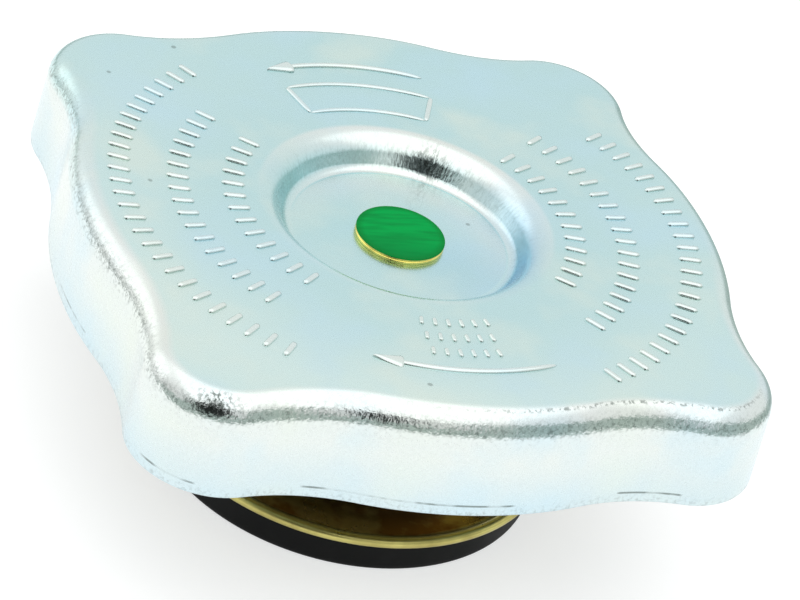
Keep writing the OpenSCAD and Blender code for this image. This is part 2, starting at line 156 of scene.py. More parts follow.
class Finishes(bpy.types.PropertyGroup):
    """Colours of the finishes."""

    zinc_top: tint("Zinc, top", "#BAD9DB", "Blue passivated zinc on the top")
    # Painted light: a paler tone towards the front of the top
    zinc_lit_front: tint("Zinc, near", "#CFE4E1", "Paler zinc towards the front of the top")
    # The skirt's paler tone, also used as painted highlight on the bends, the dish's rim and the raised
    # marks
    zinc_highlight_and_skirt: tint("Zinc, burnished", "#DEE4E1", "Brighter zinc on the bends and the upper skirt")
    zinc_low: tint("Zinc, lower skirt", "#CDDDE1", "Cooler zinc towards the skirt's edge")
    zinc_cool: tint("Zinc, blue clouds", "#BEDDEC", "Cooler clouds left by the bath")
    zinc_warm: tint("Zinc, straw clouds", "#DFE6D8", "Warmer clouds left by the bath")
    # Grey of strain speckle, scuffs, the trim line and pits, also used for painted dark reflections
    zinc_dark: tint("Zinc, strained", "#58625C", "Grey speckle where the sheet was bent")
    zinc_teal: tint("Zinc, teal", "#92CFD5", "Teal film on the dish wall")
    zinc_blue: tint("Zinc, blue", "#7AB4DA", "Blue film on the dish wall")
    paint: tint("Paint", "#009A46", "Paint on the rivet's head")
    paint_thick: tint("Paint, thick", "#067C38", "Strokes and patches where the coat is thicker")
    # Painted shade on the near half of the head
    paint_shaded_near: tint("Paint, near", "#037A38", "Darker near half of the head")
    paint_edge: tint("Paint, edge", "#06752F", "Darker edge of the head")
    brass: tint("Brass", "#CCC276", "Brass of the valve")
    brass_bright: tint("Brass, turned", "#F2E07A", "Bright turned brass of the rivet")
    # Brown film on brass, also used as painted shade inside the valve plate's bead
    brass_dark: tint("Brass, dulled", "#6B4A1C", "Brown film on dulled brass")
    rubber: tint("Rubber", "#0A0B0B", "Black of the seals")
    rubber_bloom: tint("Rubber, bloom", "#1E2120", "Grey bloom on the seals")
    steel: tint("Spring steel", "#A4A8A8", "Drawn spring wire")
    steel_film: tint("Spring steel, oiled", "#5E6263", "Darker patches of oil on the wire")
    floor: tint("Floor", "#BCBDBD", "Pale studio floor")
    card: tint("Card", "#C9D6D1", "Grey cards that shape the reflections")
    card_dull: tint("Card, dull", "#98A6A0", "Duller clouds in the cards")
    card_core: tint("Card, core", "#0B0D0C", "Dark patch of the cards")


class StageSizes(bpy.types.PropertyGroup):
    """Camera and lights."""

    lens: FloatProperty(
        name="Lens", description="Focal length on a 36 mm sensor", default=158.930, min=1.0, unit="CAMERA"
    )
    place: FloatVectorProperty(
        name="Camera place",
        description="Where the camera stands",
        default=(-0.136819, -0.300703, 0.242747),
        subtype="TRANSLATION",
    )
    azimuth: FloatProperty(
        name="Azimuth", description="Turn of the view about Z", default=-0.433220, subtype="ANGLE"
    )
    elevation: FloatProperty(
        name="Elevation",
        description="Height of the view over the horizon",
        default=0.590511,
        subtype="ANGLE",
    )
    roll: FloatProperty(name="Roll", description="Tilt of the picture", default=0.290105, subtype="ANGLE")
    softbox_w: size("Softbox", 1.0, "Side of the softbox overhead")
    softbox_z: size("Softbox height", 0.6, "Height of the softbox over the floor")
    softbox_power: FloatProperty(
        name="Softbox power", description="Power of the softbox", default=4.2, min=0.0, unit="POWER"
    )


# Surfaces as whole arrays


def polar(radius, angle, *height):
    """Points from radius, angle and, where given, height: x = r cos a, y = r sin a, as one array."""
    return np.stack(np.broadcast_arrays(radius * np.cos(angle), radius * np.sin(angle), *height), axis=-1)


def hump(x, centre, width):
    """A smooth hump, 1 at its centre: e to the power of minus ((x - centre) / width) squared."""
    return np.exp(-(((x - centre) / width) ** 2))


def facing(turn, towards):
    """Cosine between two angles in degrees: 1 towards that side, -1 on the far side."""
    return np.cos(np.radians(turn - towards))


def arc(centre, radius, start, end, steps, hollow=False):
    """Points on a circle and their outward normals, from angle start up to, not at, angle end."""
    way = polar(1, np.linspace(start, end, steps, endpoint=False))
    return np.asarray(centre) + radius * way, (-way if hollow else way)


def bend(centre, radius, start, end, steps):
    """Rows (radius, height) on a circular bend of a section, both ends included, angles in degrees."""
    return np.asarray(centre) + polar(radius, np.radians(np.linspace(start, end, steps)))


def cover_outline(s):
    """The four-lobed outline: bow, waist, lobe and mirrored waist, tangent arcs, turned by quarter turns.

    The waist's centre lies at bow radius + waist radius from the bow's centre and at lobe radius + waist
    radius from the lobe's centre. An inset by d moves each point by d against its normal.
    """
    bow_c = np.array([s.half_width - s.side_bow_r, 0.0])
    lobe_c = (s.corner_reach - s.corner_r) * np.array([math.cos(PI / 4), math.sin(PI / 4)])
    gap = np.linalg.norm(lobe_c - bow_c)
    u = (lobe_c - bow_c) / gap
    reach = s.side_bow_r + s.waist_r
    along = (reach**2 - (s.corner_r + s.waist_r) ** 2 + gap**2) / (2 * gap)
    waist_c = bow_c + along * u + math.sqrt(reach**2 - along**2) * np.array([u[1], -u[0]])
    bow_a = math.atan2(waist_c[1] - bow_c[1], waist_c[0] - bow_c[0])
    waist_a = math.atan2(lobe_c[1] - waist_c[1], lobe_c[0] - waist_c[0])
    parts = [
        arc(bow_c, s.side_bow_r, -bow_a, bow_a, 40),
        arc(waist_c, s.waist_r, bow_a + PI, waist_a, 30, hollow=True),
        arc(lobe_c, s.corner_r, waist_a - PI, 1.5 * PI - waist_a, 44),
        arc(waist_c[::-1], s.waist_r, PI / 2 - waist_a, -PI / 2 - bow_a, 30, hollow=True),
    ]
    quarter = np.stack([np.concatenate([p[k] for p in parts]) for k in (0, 1)])
    a = np.arange(4) * PI / 2
    turn = np.array([[np.cos(a), -np.sin(a)], [np.sin(a), np.cos(a)]])
    return np.einsum("ijk,mnj->mkni", turn, quarter).reshape(2, -1, 2)


def lobe_share(plan):
    """1 at the middle of a lobe and 0 at the middle of a side: sin(2 a) to the fourth, a being the angle."""
    return np.sin(2 * np.arctan2(plan[..., 1], plan[..., 0])) ** 4


def eased(corners, cut, closed=True, steps=5):
    """A section with rounded corners: a quadratic curve from cut before each corner to cut after it.

    A cut takes at most 0.4 of a flat. A support point lies just outside both ends of each curve, so that
    the flats shade flat.
    """
    p = np.asarray(corners, float)
    before, after = np.roll(p, 1, axis=0) - p, np.roll(p, -1, axis=0) - p
    lb, la = np.linalg.norm(before, axis=1), np.linalg.norm(after, axis=1)
    c = np.minimum(cut, 0.4 * np.minimum(lb, la))[:, None]
    before, after = before / lb[:, None] * c, after / la[:, None] * c
    t = np.linspace(0, 1, steps)[None, :, None]
    a, b, q = (p + before)[:, None], (p + after)[:, None], p[:, None]
    curve = (1 - t) ** 2 * a + 2 * t * (1 - t) * q + t**2 * b
    rows = np.concatenate([(p + 1.2 * before)[:, None], curve, (p + 1.2 * after)[:, None]], axis=1)
    if closed:
        return rows.reshape(-1, 2)
    return np.concatenate([p[:1], rows[1:-1].reshape(-1, 2), p[-1:]])


def turned(section, steps=192):
    """A section of (radius, height) rows turned about Z, as an array of rings."""
    return polar(section[:, :1], np.linspace(0, 2 * PI, steps, endpoint=False), section[:, 1:])


def coil(mid_r, wire, turns, z0, z1, sides=20, steps=72):
    """A coil spring of round wire between two heights, its closed end turns ground flat.

    The wire's centre climbs slowly in the end turns and evenly between them. The lower half of the section
    is flattened to the distance from the lower plane, and the upper half to that from the upper plane.
    """
    half, tip, close = wire / 2, wire / 10, 1.1 * wire
    t = np.linspace(0, turns, int(turns * steps) + 1)
    height = z1 - z0 - 2 * tip
    rise = np.interp(t, [0, 1, turns - 1, turns], [0, close, height - close, height])
    zc = (z0 + tip + rise)[:, None]
    b = np.linspace(0, 2 * PI, sides, endpoint=False)
    flat = np.where(np.sin(b) < 0, np.minimum(half, zc - z0), np.minimum(half, z1 - zc))
    return polar(mid_r + half * np.cos(b), 2 * PI * t[:, None], zc + np.sin(b) * flat)


def beads(paths, half_w, rise, base, sides=12):
    """Raised bars along plan paths: an ellipse, half of it sunk, that shrinks to a point at both ends.

    Its size falls as the root of 1 - u^8, u running from -1 to 1 along the bar.
    """
    along = np.gradient(paths, axis=1)
    along /= np.linalg.norm(along, axis=2, keepdims=True)
    side = np.stack([-along[..., 1], along[..., 0]], axis=-1)
    u = np.linspace(-1, 1, paths.shape[1])
    taper = np.sqrt(np.maximum(1 - u**8, 4e-4))
    b = np.linspace(0, 2 * PI, sides, endpoint=False)
    offset = (half_w * taper)[:, None] * np.cos(b)
    plan = paths[..., None, :] + side[..., None, :] * offset[..., None]
    z = base[..., None] + rise * taper[:, None] * np.sin(b)
    return np.concatenate([plan, z[..., None]], axis=-1)


# Faces, as quads and many-sided end faces


def grid_quads(rows, cols, round_rows=False, round_cols=False):
    """Corner numbers of the quads of a grid of points, closed along the ways that go round."""
    i = np.arange(rows if round_rows else rows - 1)
    j = np.arange(cols if round_cols else cols - 1)
    i, j = np.meshgrid(i, j, indexing="ij")
    k, m = (i + 1) % rows, (j + 1) % cols
    return np.stack([i * cols + j, i * cols + m, k * cols + m, k * cols + j], axis=-1).reshape(-1, 4)


def tubes(points):
    """Faces of equal tubes with closed ends, given as an array of tubes by rows by points round."""
    count, rows, cols = points.shape[:3]
    first = np.arange(count)[:, None, None] * rows * cols
    quads = (grid_quads(rows, cols, False, True) + first).reshape(-1, 4)
    ring = np.arange(cols)
    ends = np.stack([ring[::-1], ring + (rows - 1) * cols])
    return quads, (ends + first).reshape(-1, cols).tolist()


# Pieces


def put(name, points, faces, keys, body, replaces=(), values=None, slots=None):
    """A closed mesh piece from points and faces, turned outwards, riding on a CAD body.

    keys name its finishes, values are attributes of its points, and slots number the faces' finishes.
    """
    points = points.reshape(-1, 3)
    quads, caps = faces
    p = points[quads] - points.mean(axis=0)
    volume = np.einsum("ni,ni->", p[:, 0], np.cross(p[:, 1], p[:, 2]))
    volume += np.einsum("ni,ni->", p[:, 0], np.cross(p[:, 2], p[:, 3]))
    polygons = quads.tolist() + caps
    if volume < 0:
        polygons = [polygon[::-1] for polygon in polygons]
    mesh = bpy.data.meshes.new(name)
    mesh.from_pydata(points.tolist(), [], polygons)
    mesh.polygons.foreach_set("use_smooth", np.ones(len(polygons), bool))
    for key in keys:
        mesh.materials.append(finish(key))
    if slots is not None:
        mesh.polygons.foreach_set("material_index", np.asarray(slots, np.int32))
    for key, value in (values or {}).items():
        kind, field = ("FLOAT_VECTOR", "vector") if value.size == points.size else ("FLOAT", "value")
        mesh.attributes.new(key, kind, "POINT").data.foreach_set(field, value.ravel().astype(np.float32))
    mesh.update()
    piece = bpy.data.objects.new(name, mesh)
    bpy.context.scene.collection.objects.link(piece)
    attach(piece, body)
    if replaces:
        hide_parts(*replaces)
    return piece


def put_turned(name, section, key, body, node, closed=True, values=None):
    """A turned piece from its section, with values for each row; an open section gets a disc at each end."""
    rings = turned(section)
    rows, cols = rings.shape[:2]
    faces = (grid_quads(rows, cols, True, True), []) if closed else tubes(rings[None])
    values = {label: np.repeat(value, cols) for label, value in (values or {}).items()}
    put(name, rings, faces, [key], body, [node], values)


def put_washer(name, node, inner, key, body):
    """A flat washer with eased edges, from its inner radius to its node's box."""
    low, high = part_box(node)
    ring = [[inner, low.z], [high.x, low.z], [high.x, high.z], [inner, high.z]]
    put_turned(name, eased(ring, bpy.context.scene.cap_valve.edge), key, body, node)


# Materials


def add(tree, kind, sockets=None, out=0, **settings):
    """Adds a shader node with its settings and gives one output; a socket takes a value or an output."""
    made = tree.nodes.new("ShaderNode" + kind)
    for key, value in settings.items():
        setattr(made, key, value)
    for key, value in (sockets or {}).items():
        if isinstance(value, bpy.types.NodeSocket):
            tree.links.new(value, made.inputs[key])
        else:
            made.inputs[key].default_value = value
    return made.outputs[out]


def start(name, **constants):
    """A new material with its shader's constants, its node tree and the Object coordinates."""
    made = bpy.data.materials.new(name)
    made.use_nodes = True
    tree = made.node_tree
    shader = tree.nodes["Principled BSDF"]
    for key, value in constants.items():
        shader.inputs[key.replace("_", " ")].default_value = value
    return made, tree, shader, add(tree, "TexCoord", out="Object")


def dress(tree, shader, base, layers, rough, normal=None):
    """Lays colours over the base by their shares, in order, and joins colour, roughness and normal."""
    for share, colour in layers:
        base = add(tree, "Mix", {0: share, 6: base, 7: colour}, 2, data_type="RGBA")
    tree.links.new(base, shader.inputs["Base Color"])
    tree.links.new(rough, shader.inputs["Roughness"])
    if normal is not None:
        tree.links.new(normal, shader.inputs["Normal"])


def rgba(colour):
    """A colour property with full opacity."""
    return (*colour, 1.0)


def per(mm):
    """Texture scale that makes a feature about so many millimetres wide."""
    return 1 / (mm * MM)


def off_axis(tree, at):
    """Distance from the Z axis."""
    flat = add(tree, "VectorMath", {0: at, 1: (1, 1, 0)}, operation="MULTIPLY")
    return add(tree, "VectorMath", {0: flat}, "Value", operation="LENGTH")


def zinc_plate(c):
    """Bright zinc plate with blue passivation on pressed steel.

    It gives a pale satin mirror, bluer on the top, with clouds from the bath, an orange peel where the sheet
    was drawn, teal and blue films on the dish wall, a trim line near the edge and a few pits. Painted light
    is laid on it too: a paler front of the top, painted highlight on the bends and marks, and painted dark
    reflections in a band along the shoulder and in spots on the near lobe and in the dish.
    """
    made, tree, shader, at = start("zinc_plate_on_pressed_steel", Metallic=1.0)
    # Attributes: the first carries painted highlight on the bends and marks together with the skirt's paler
    # tone, the second strain together with a painted dark reflection band, and the fifth scuffs together
    # with painted dark spots
    side, strain_and_dark_band, teal, blue, scuff_and_dark_spots, trim = (
        add(tree, "Attribute", out="Fac", attribute_name=key)
        for key in ("side", "strain_and_dark_band", "teal", "blue", "scuff_and_dark_spots", "trim")
    )
    drawn = add(tree, "Attribute", out="Vector", attribute_name="drawn")
    # Painted light: the top is paler towards its front left edge, over the whole width of 70 mm,
    # and outside the dish
    front = add(tree, "VectorMath", {0: at, 1: (-0.41, -0.91, 0)}, "Value", operation="DOT_PRODUCT")
    near = add(tree, "MapRange", {0: front, 1: -35 * MM, 2: 35 * MM})
    outer = add(tree, "MapRange", {0: off_axis(tree, at), 1: 20 * MM, 2: 35 * MM, 3: 0.15, 4: 1.0})
    pale = add(tree, "Math", {0: near, 1: outer}, operation="MULTIPLY")
    # The skirt turns cooler from 7 mm to 1 mm over its edge
    height = add(tree, "SeparateXYZ", {0: at}, "Z")
    low = add(tree, "MapRange", {0: height, 1: COVER_LOW.z + 7 * MM, 2: COVER_LOW.z + MM})
    skirt = add(tree, "Mix", {0: low, 6: rgba(c.zinc_highlight_and_skirt), 7: rgba(c.zinc_low)}, 2, data_type="RGBA")
    # Clouds about 12 mm wide, left by the passivation bath
    cloud = add(tree, "TexNoise", {"Vector": at, "Scale": per(12), "Detail": 3.0})
    cool = add(tree, "MapRange", {0: cloud, 1: 0.5, 2: 0.72, 3: 0.0, 4: 0.45})
    warm = add(tree, "MapRange", {0: cloud, 1: 0.48, 2: 0.3, 3: 0.0, 4: 0.4})
    # Crystals: real ones are too fine to show, so they are drawn about 0.45 mm wide. They darken the bends
    # in a speckle, which is strain together with a painted dark reflection band, and the scuffs and painted
    # dark spots in specks with sharper edges
    grain = add(tree, "TexNoise", {"Vector": drawn, "Scale": per(0.45), "Detail": 4.0, "Roughness": 0.65})
    dark = add(tree, "MapRange", {0: grain, 1: 0.48, 2: 0.66})
    strain_and_dark_band_share = add(tree, "Math", {0: strain_and_dark_band, 1: 0.6}, operation="MULTIPLY")
    speckle = add(tree, "Math", {0: dark, 1: strain_and_dark_band_share}, operation="MULTIPLY")
    speck = add(tree, "MapRange", {0: grain, 1: 0.5, 2: 0.58, 3: 0.0, 4: 0.9})
    dark_specks = add(tree, "Math", {0: speck, 1: scuff_and_dark_spots}, operation="MULTIPLY")
    # Trim line 1.4 mm over the skirt's edge, 0.24 mm wide and broken every few millimetres
    line_z = COVER_LOW.z + 1.4 * MM
    line = add(tree, "Math", {0: height, 1: line_z, 2: 0.12 * MM}, operation="COMPARE")
    patch = add(tree, "TexNoise", {"Vector": at, "Scale": per(3), "Detail": 2.0})
    gaps = add(tree, "MapRange", {0: patch, 1: 0.4, 2: 0.55, 3: 0.1, 4: 0.7})
    kept = add(tree, "Math", {0: gaps, 1: trim}, operation="MULTIPLY")
    trimmed = add(tree, "Math", {0: line, 1: kept}, operation="MULTIPLY")
    # Pits about 0.6 mm wide, one every 8 mm or so
    spots = add(tree, "TexVoronoi", {"Vector": at, "Scale": per(8)}, "Distance")
    pit = add(tree, "MapRange", {0: spots, 1: 0.045, 2: 0.03, 3: 0.0, 4: 0.45})
    # Satin, and keener where the sheet was drawn over the tool
    satin = add(tree, "MapRange", {0: grain, 1: 0.3, 2: 0.7, 3: 0.22, 4: 0.32})
    keen = add(tree, "MapRange", {0: strain_and_dark_band, 3: 1.0, 4: 0.55})
    rough = add(tree, "Math", {0: satin, 1: keen}, operation="MULTIPLY")
    # Waves of the pressing about 7 mm wide, then orange peel about 0.4 mm wide, deep on the bends
    wave = add(tree, "TexNoise", {"Vector": at, "Scale": per(7), "Detail": 1.0})
    swell = add(tree, "Bump", {"Height": wave, "Distance": 0.05 * MM, "Strength": 0.8})
    peel = add(tree, "TexNoise", {"Vector": drawn, "Scale": per(0.4), "Detail": 2.0})
    depth = add(tree, "MapRange", {0: strain_and_dark_band, 3: 0.0015 * MM, 4: 0.085 * MM})
    skin = add(tree, "Bump", {"Height": peel, "Distance": depth, "Strength": 0.8, "Normal": swell})
    layers = [
        (pale, rgba(c.zinc_lit_front)),
        # Painted highlight on the bends and marks, and the skirt's paler tone
        (side, skirt),
        (cool, rgba(c.zinc_cool)),
        (warm, rgba(c.zinc_warm)),
        (teal, rgba(c.zinc_teal)),
        (blue, rgba(c.zinc_blue)),
        # Grey speckle and specks: strain and scuffs together with painted dark reflections, then the trim
        # line and pits
        *((share, rgba(c.zinc_dark)) for share in (speckle, dark_specks, trimmed, pit)),
    ]
    dress(tree, shader, rgba(c.zinc_top), layers, rough, skin)
    return made


def dulled_brass(c):
    """Rolled and turned brass, dulled in use: olive gold with a brown film, painted shade where a piece asks
    for it, and fine rings from the tool.
    """
    made, tree, shader, at = start("dulled_brass_rolled", Metallic=1.0)
    # Film in patches about 6 mm wide, and painted shade where the piece's own attribute puts it
    film = add(tree, "TexNoise", {"Vector": at, "Scale": per(6), "Detail": 4.0, "Roughness": 0.6})
    patchy = add(tree, "MapRange", {0: film, 1: 0.45, 2: 0.75, 3: 0.0, 4: 0.5})
    painted_shade = add(tree, "Attribute", out="Fac", attribute_name="film")
    share = add(tree, "Math", {0: patchy, 1: painted_shade}, operation="ADD", use_clamp=True)
    rough = add(tree, "MapRange", {0: film, 1: 0.3, 2: 0.7, 3: 0.24, 4: 0.42})
    # Tool marks: real ones are too fine to show, so they are drawn 0.4 mm apart
    ring_scale = 2 * PI / (20 * 0.4 * MM)
    rings = add(
        tree,
        "TexWave",
        {"Vector": at, "Scale": ring_scale, "Distortion": 0.4},
        out=1,
        wave_type="RINGS",
        rings_direction="Z",
    )
    cut = add(tree, "Bump", {"Height": rings, "Distance": 0.004 * MM, "Strength": 0.6})
    dress(tree, shader, rgba(c.brass), [(share, rgba(c.brass_dark))], rough, cut)
    return made


def bright_brass(c):
    """Freshly turned brass of the rivet: bright yellow, with a faint film in patches about 1.5 mm wide."""
    made, tree, shader, at = start("bright_brass_turned", Metallic=1.0)
    film = add(tree, "TexNoise", {"Vector": at, "Scale": per(1.5), "Detail": 3.0})
    share = add(tree, "MapRange", {0: film, 1: 0.5, 2: 0.75, 3: 0.0, 4: 0.25})
    rough = add(tree, "MapRange", {0: film, 1: 0.3, 2: 0.7, 3: 0.18, 4: 0.3})
    dress(tree, shader, rgba(c.brass_bright), [(share, rgba(c.brass_dark))], rough)
    return made


def brushed_enamel(c):
    """Enamel paint brushed on the rivet's head: even gloss with faint strokes 0.5 mm apart, and painted
    shade on its near half.
    """
    made, tree, shader, at = start("enamel_paint_brushed", IOR=1.5, Specular_IOR_Level=0.03)
    # Strokes, and patches about 1.2 mm wide where the coat is thicker, all drawn out along the brush
    spread = add(tree, "Mapping", {"Vector": at, "Rotation": (0, 0, 0.5), "Scale": (0.12, 1, 1)})
    stroke = add(tree, "TexNoise", {"Vector": spread, "Scale": per(0.5), "Detail": 3.0})
    coat = add(tree, "TexNoise", {"Vector": spread, "Scale": per(1.2), "Detail": 2.0})
    both = add(tree, "Math", {0: stroke, 1: coat}, operation="ADD")
    thick = add(tree, "MapRange", {0: both, 1: 0.9, 2: 1.25, 3: 0.0, 4: 0.75})
    # Painted shade: the near half of the head is darker. Its outer 0.9 mm is darker too
    front = add(tree, "VectorMath", {0: at, 1: (-0.2, -0.98, 0)}, "Value", operation="DOT_PRODUCT")
    near = add(tree, "MapRange", {0: front, 1: 0.0, 2: 4 * MM, 3: 0.0, 4: 0.8})
    rim = RIVET_HIGH.x
    span = {1: rim - 0.9 * MM, 2: rim - 0.2 * MM, 3: 0.0, 4: 0.7}
    edge = add(tree, "MapRange", {0: off_axis(tree, at), **span})
    rough = add(tree, "MapRange", {0: stroke, 1: 0.3, 2: 0.7, 3: 0.32, 4: 0.46})
    relief = add(tree, "Bump", {"Height": stroke, "Distance": 0.01 * MM, "Strength": 0.7})
    layers = [(thick, rgba(c.paint_thick)), (near, rgba(c.paint_shaded_near)), (edge, rgba(c.paint_edge))]
    dress(tree, shader, rgba(c.paint), layers, rough, relief)
    return made


def moulded_rubber(c):
    """Moulded nitrile rubber: matt black with a grey bloom and a fine skin from the mould."""
    made, tree, shader, at = start("nitrile_rubber_moulded", IOR=1.5, Specular_IOR_Level=0.15)
    bloom = add(tree, "TexNoise", {"Vector": at, "Scale": per(4), "Detail": 5.0, "Roughness": 0.65})
    share = add(tree, "MapRange", {0: bloom, 1: 0.5, 2: 0.8, 3: 0.0, 4: 0.5})
    rough = add(tree, "MapRange", {0: bloom, 1: 0.3, 2: 0.7, 3: 0.5, 4: 0.68})
    # The mould's grit is too fine to show, so it is drawn about 0.2 mm wide
    grit = add(tree, "TexNoise", {"Vector": at, "Scale": per(0.2), "Detail": 2.0})
    relief = add(tree, "Bump", {"Height": grit, "Distance": 0.01 * MM, "Strength": 0.6})
    dress(tree, shader, rgba(c.rubber), [(share, rgba(c.rubber_bloom))], rough, relief)
    return made


def drawn_steel(c):
    """Drawn spring steel: grey metal with a thin oil film, darker in patches about 3 mm wide."""
    made, tree, shader, at = start("spring_steel_drawn", Metallic=1.0)
    film = add(tree, "TexNoise", {"Vector": at, "Scale": per(3), "Detail": 4.0})
    share = add(tree, "MapRange", {0: film, 1: 0.45, 2: 0.75, 3: 0.0, 4: 0.6})
    rough = add(tree, "MapRange", {0: film, 1: 0.3, 2: 0.7, 3: 0.26, 4: 0.4})
    dress(tree, shader, rgba(c.steel), [(share, rgba(c.steel_film))], rough)
    return made


MAKERS = {
    "zinc": zinc_plate,
    "brass": dulled_brass,
    "bright": bright_brass,
    "paint": brushed_enamel,
    "rubber": moulded_rubber,
    "steel": drawn_steel,
}
MADE = {}


def finish(key):
    """The material of that key, made the first time it is asked for."""
    if key not in MADE:
        MADE[key] = MAKERS[key](bpy.context.scene.cap_finishes)
    return MADE[key]


# Operators: one for each piece or group of like pieces


def cover_rows(s):
    """The cover's section as rows (circle radius, inset, share of outline, z, side, strain and dark band,
    wall, fall).

    A ring lies on a circle where the share is 0, and on the outline moved inwards where it is 1. The
    section runs from the rivet hole over the dish, top, shoulder and skirt to the edge, and back inside
    the sheet. side is painted highlight on the bends together with the skirt's paler tone, the strain column
    is the sheet's strain together with a painted dark reflection band, wall is 1 on the dish wall, and fall
    is the share of the lobes' fall that the row takes.
    """
    top, low, half = COVER_HIGH.z, COVER_LOW.z, s.sheet / 2
    crown = top - s.top_sink
    floor = crown - s.dish_depth
    # The dish: two bends with a straight wall between them
    bends = s.rim_bend_r + s.floor_bend_r
    slope = math.degrees(s.dish_wall_a)
    straight = (s.dish_depth - bends * (1 - math.cos(s.dish_wall_a))) / math.sin(s.dish_wall_a)
    run = bends * math.sin(s.dish_wall_a) + straight * math.cos(s.dish_wall_a)
    rim = (s.dish_rim_r, crown - half - s.rim_bend_r)
    foot = (s.dish_rim_r - run, floor - half + s.floor_bend_r)

    def rows(r, inset, share, z, side, strain_and_dark_band, wall=0, fall=0):
        """Rows from values that are single numbers or arrays."""
        return np.stack(np.broadcast_arrays(r, inset, share, z, side, strain_and_dark_band, wall, fall), axis=1)

    def dish(section, side, strain_and_dark_band, wall=0):
        """Rows on circles, from a section of (radius, height) rows."""
        return rows(section[:, 0], 0, 0, section[:, 1], side, strain_and_dark_band, wall)

    def drawn(tilt):
        """Painted highlight, strain with painted dark reflection, and wall share on the dish's bends, by the
        sheet's tilt in degrees.
        """
        side = np.interp(tilt, [0, 4, 9, 42, 60], [0, 0.3, 0.95, 0.95, 0.25])
        strain_and_dark_band = np.interp(tilt, [0, 20, 40, 60], [0, 0.12, 0.45, 0.85])
        return side, strain_and_dark_band, np.interp(tilt, [0, 30, 60], [0, 0.3, 1])

    foot_up = bend(foot, s.floor_bend_r - half, -90, slope - 90, 12)
    rim_up = bend(rim, s.rim_bend_r + half, 90 + slope, 90, 24)
    rim_in = bend(rim, s.rim_bend_r - half, 90, 90 + slope, 8)
    foot_in = bend(foot, s.floor_bend_r + half, slope - 90, -90, 8)
    # Painted highlight on the dish's floor, rising towards the foot of the wall
    glow = np.array([0, 0, 0.05, 0.25, 0.6, 0.9])
    # From the flat ring to the shoulder the top eases up by 3 m^2 - 2 m^3; back inside, with half the rows
    m = np.linspace(0, 1, 16)
    g = m**2 * (3 - 2 * m)
    m_in, g_in = m[-2:0:-2], g[-2:0:-2]
    m, g = m[1:-1], g[1:-1]
    # The shoulder's outer and inner bend, the skirt between its ends, and the rounded edge
    a = np.linspace(0, PI / 2, 37)
    b = np.linspace(PI / 2, 0, 8)
    t = np.linspace(0, 1, 9)[1:-1]
    e = np.linspace(0, PI / 2, 6)
    # Painted highlight on the shoulder from 4 degrees down, and strain along it that also paints a dark
    # reflection band around 72 degrees
    painted_shoulder_highlight = np.interp(np.degrees(a), [0, 4, 20, 90], [0, 0, 1, 1])
    shoulder_strain_and_dark_band = np.interp(np.degrees(a), [0, 4, 34, 46, 58, 72, 90], [0, 0.05, 0.1, 0.3, 0.75, 1, 0.15])
    outer_r, inner_r = s.shoulder_r, s.shoulder_r - s.sheet
    outer_d, outer_z = outer_r * (1 - np.sin(a)), top - outer_r * (1 - np.cos(a))
    inner_d, inner_z = s.sheet + inner_r * (1 - np.sin(b)), top - s.sheet - inner_r * (1 - np.cos(b))
    ease = 0.35 * s.sheet
    drop = low + ease - (top - outer_r)
    up = t[::-1]
    return np.concatenate(
        [
            rows(np.linspace(s.hole_r, foot[0] - 0.2 * MM, 6), 0, 0, floor, glow, 0, 0.2),
            dish(foot_up, *drawn(np.linspace(0, slope, 12))),
            dish(rim_up, *drawn(np.linspace(slope, 0, 24))),
            rows(np.linspace(s.dish_rim_r + 0.3 * MM, s.flat_r, 6), 0, 0, crown, 0, 0),
            rows(s.flat_r, outer_r, m, crown + s.top_sink * g, 0, 0, 0, g),
            rows(0, outer_d, 1, outer_z, painted_shoulder_highlight, shoulder_strain_and_dark_band, 0, 1),
            rows(0, -s.flare * t, 1, top - outer_r + drop * t, 1, 0, 0, 1 - t),
            rows(0, -s.flare + ease * (1 - np.cos(e)), 1, low + ease * (1 - np.sin(e)), 1, 0.5),
            rows(0, s.sheet - s.flare - ease * (1 - np.sin(e)), 1, low + ease * (1 - np.cos(e)), 1, 0.5),
            rows(0, s.sheet - s.flare * up, 1, top - outer_r + drop * up, 0.6, 0, 0, 1 - up),
            rows(0, inner_d, 1, inner_z, 0.4, 0.3, 0, 1),
            rows(s.flat_r, outer_r, m_in, crown - s.sheet + s.top_sink * g_in, 0.3, 0, 0, g_in),
            rows(np.linspace(s.flat_r, s.dish_rim_r + 0.3 * MM, 5), 0, 0, crown - s.sheet, 0.3, 0),
            dish(rim_in, 0.3, 0.3),
            dish(foot_in, 0.3, 0.3),
            rows(np.linspace(foot[0] - 0.3 * MM, s.hole_r, 5), 0, 0, floor - s.sheet, 0.3, 0),
        ]
    )


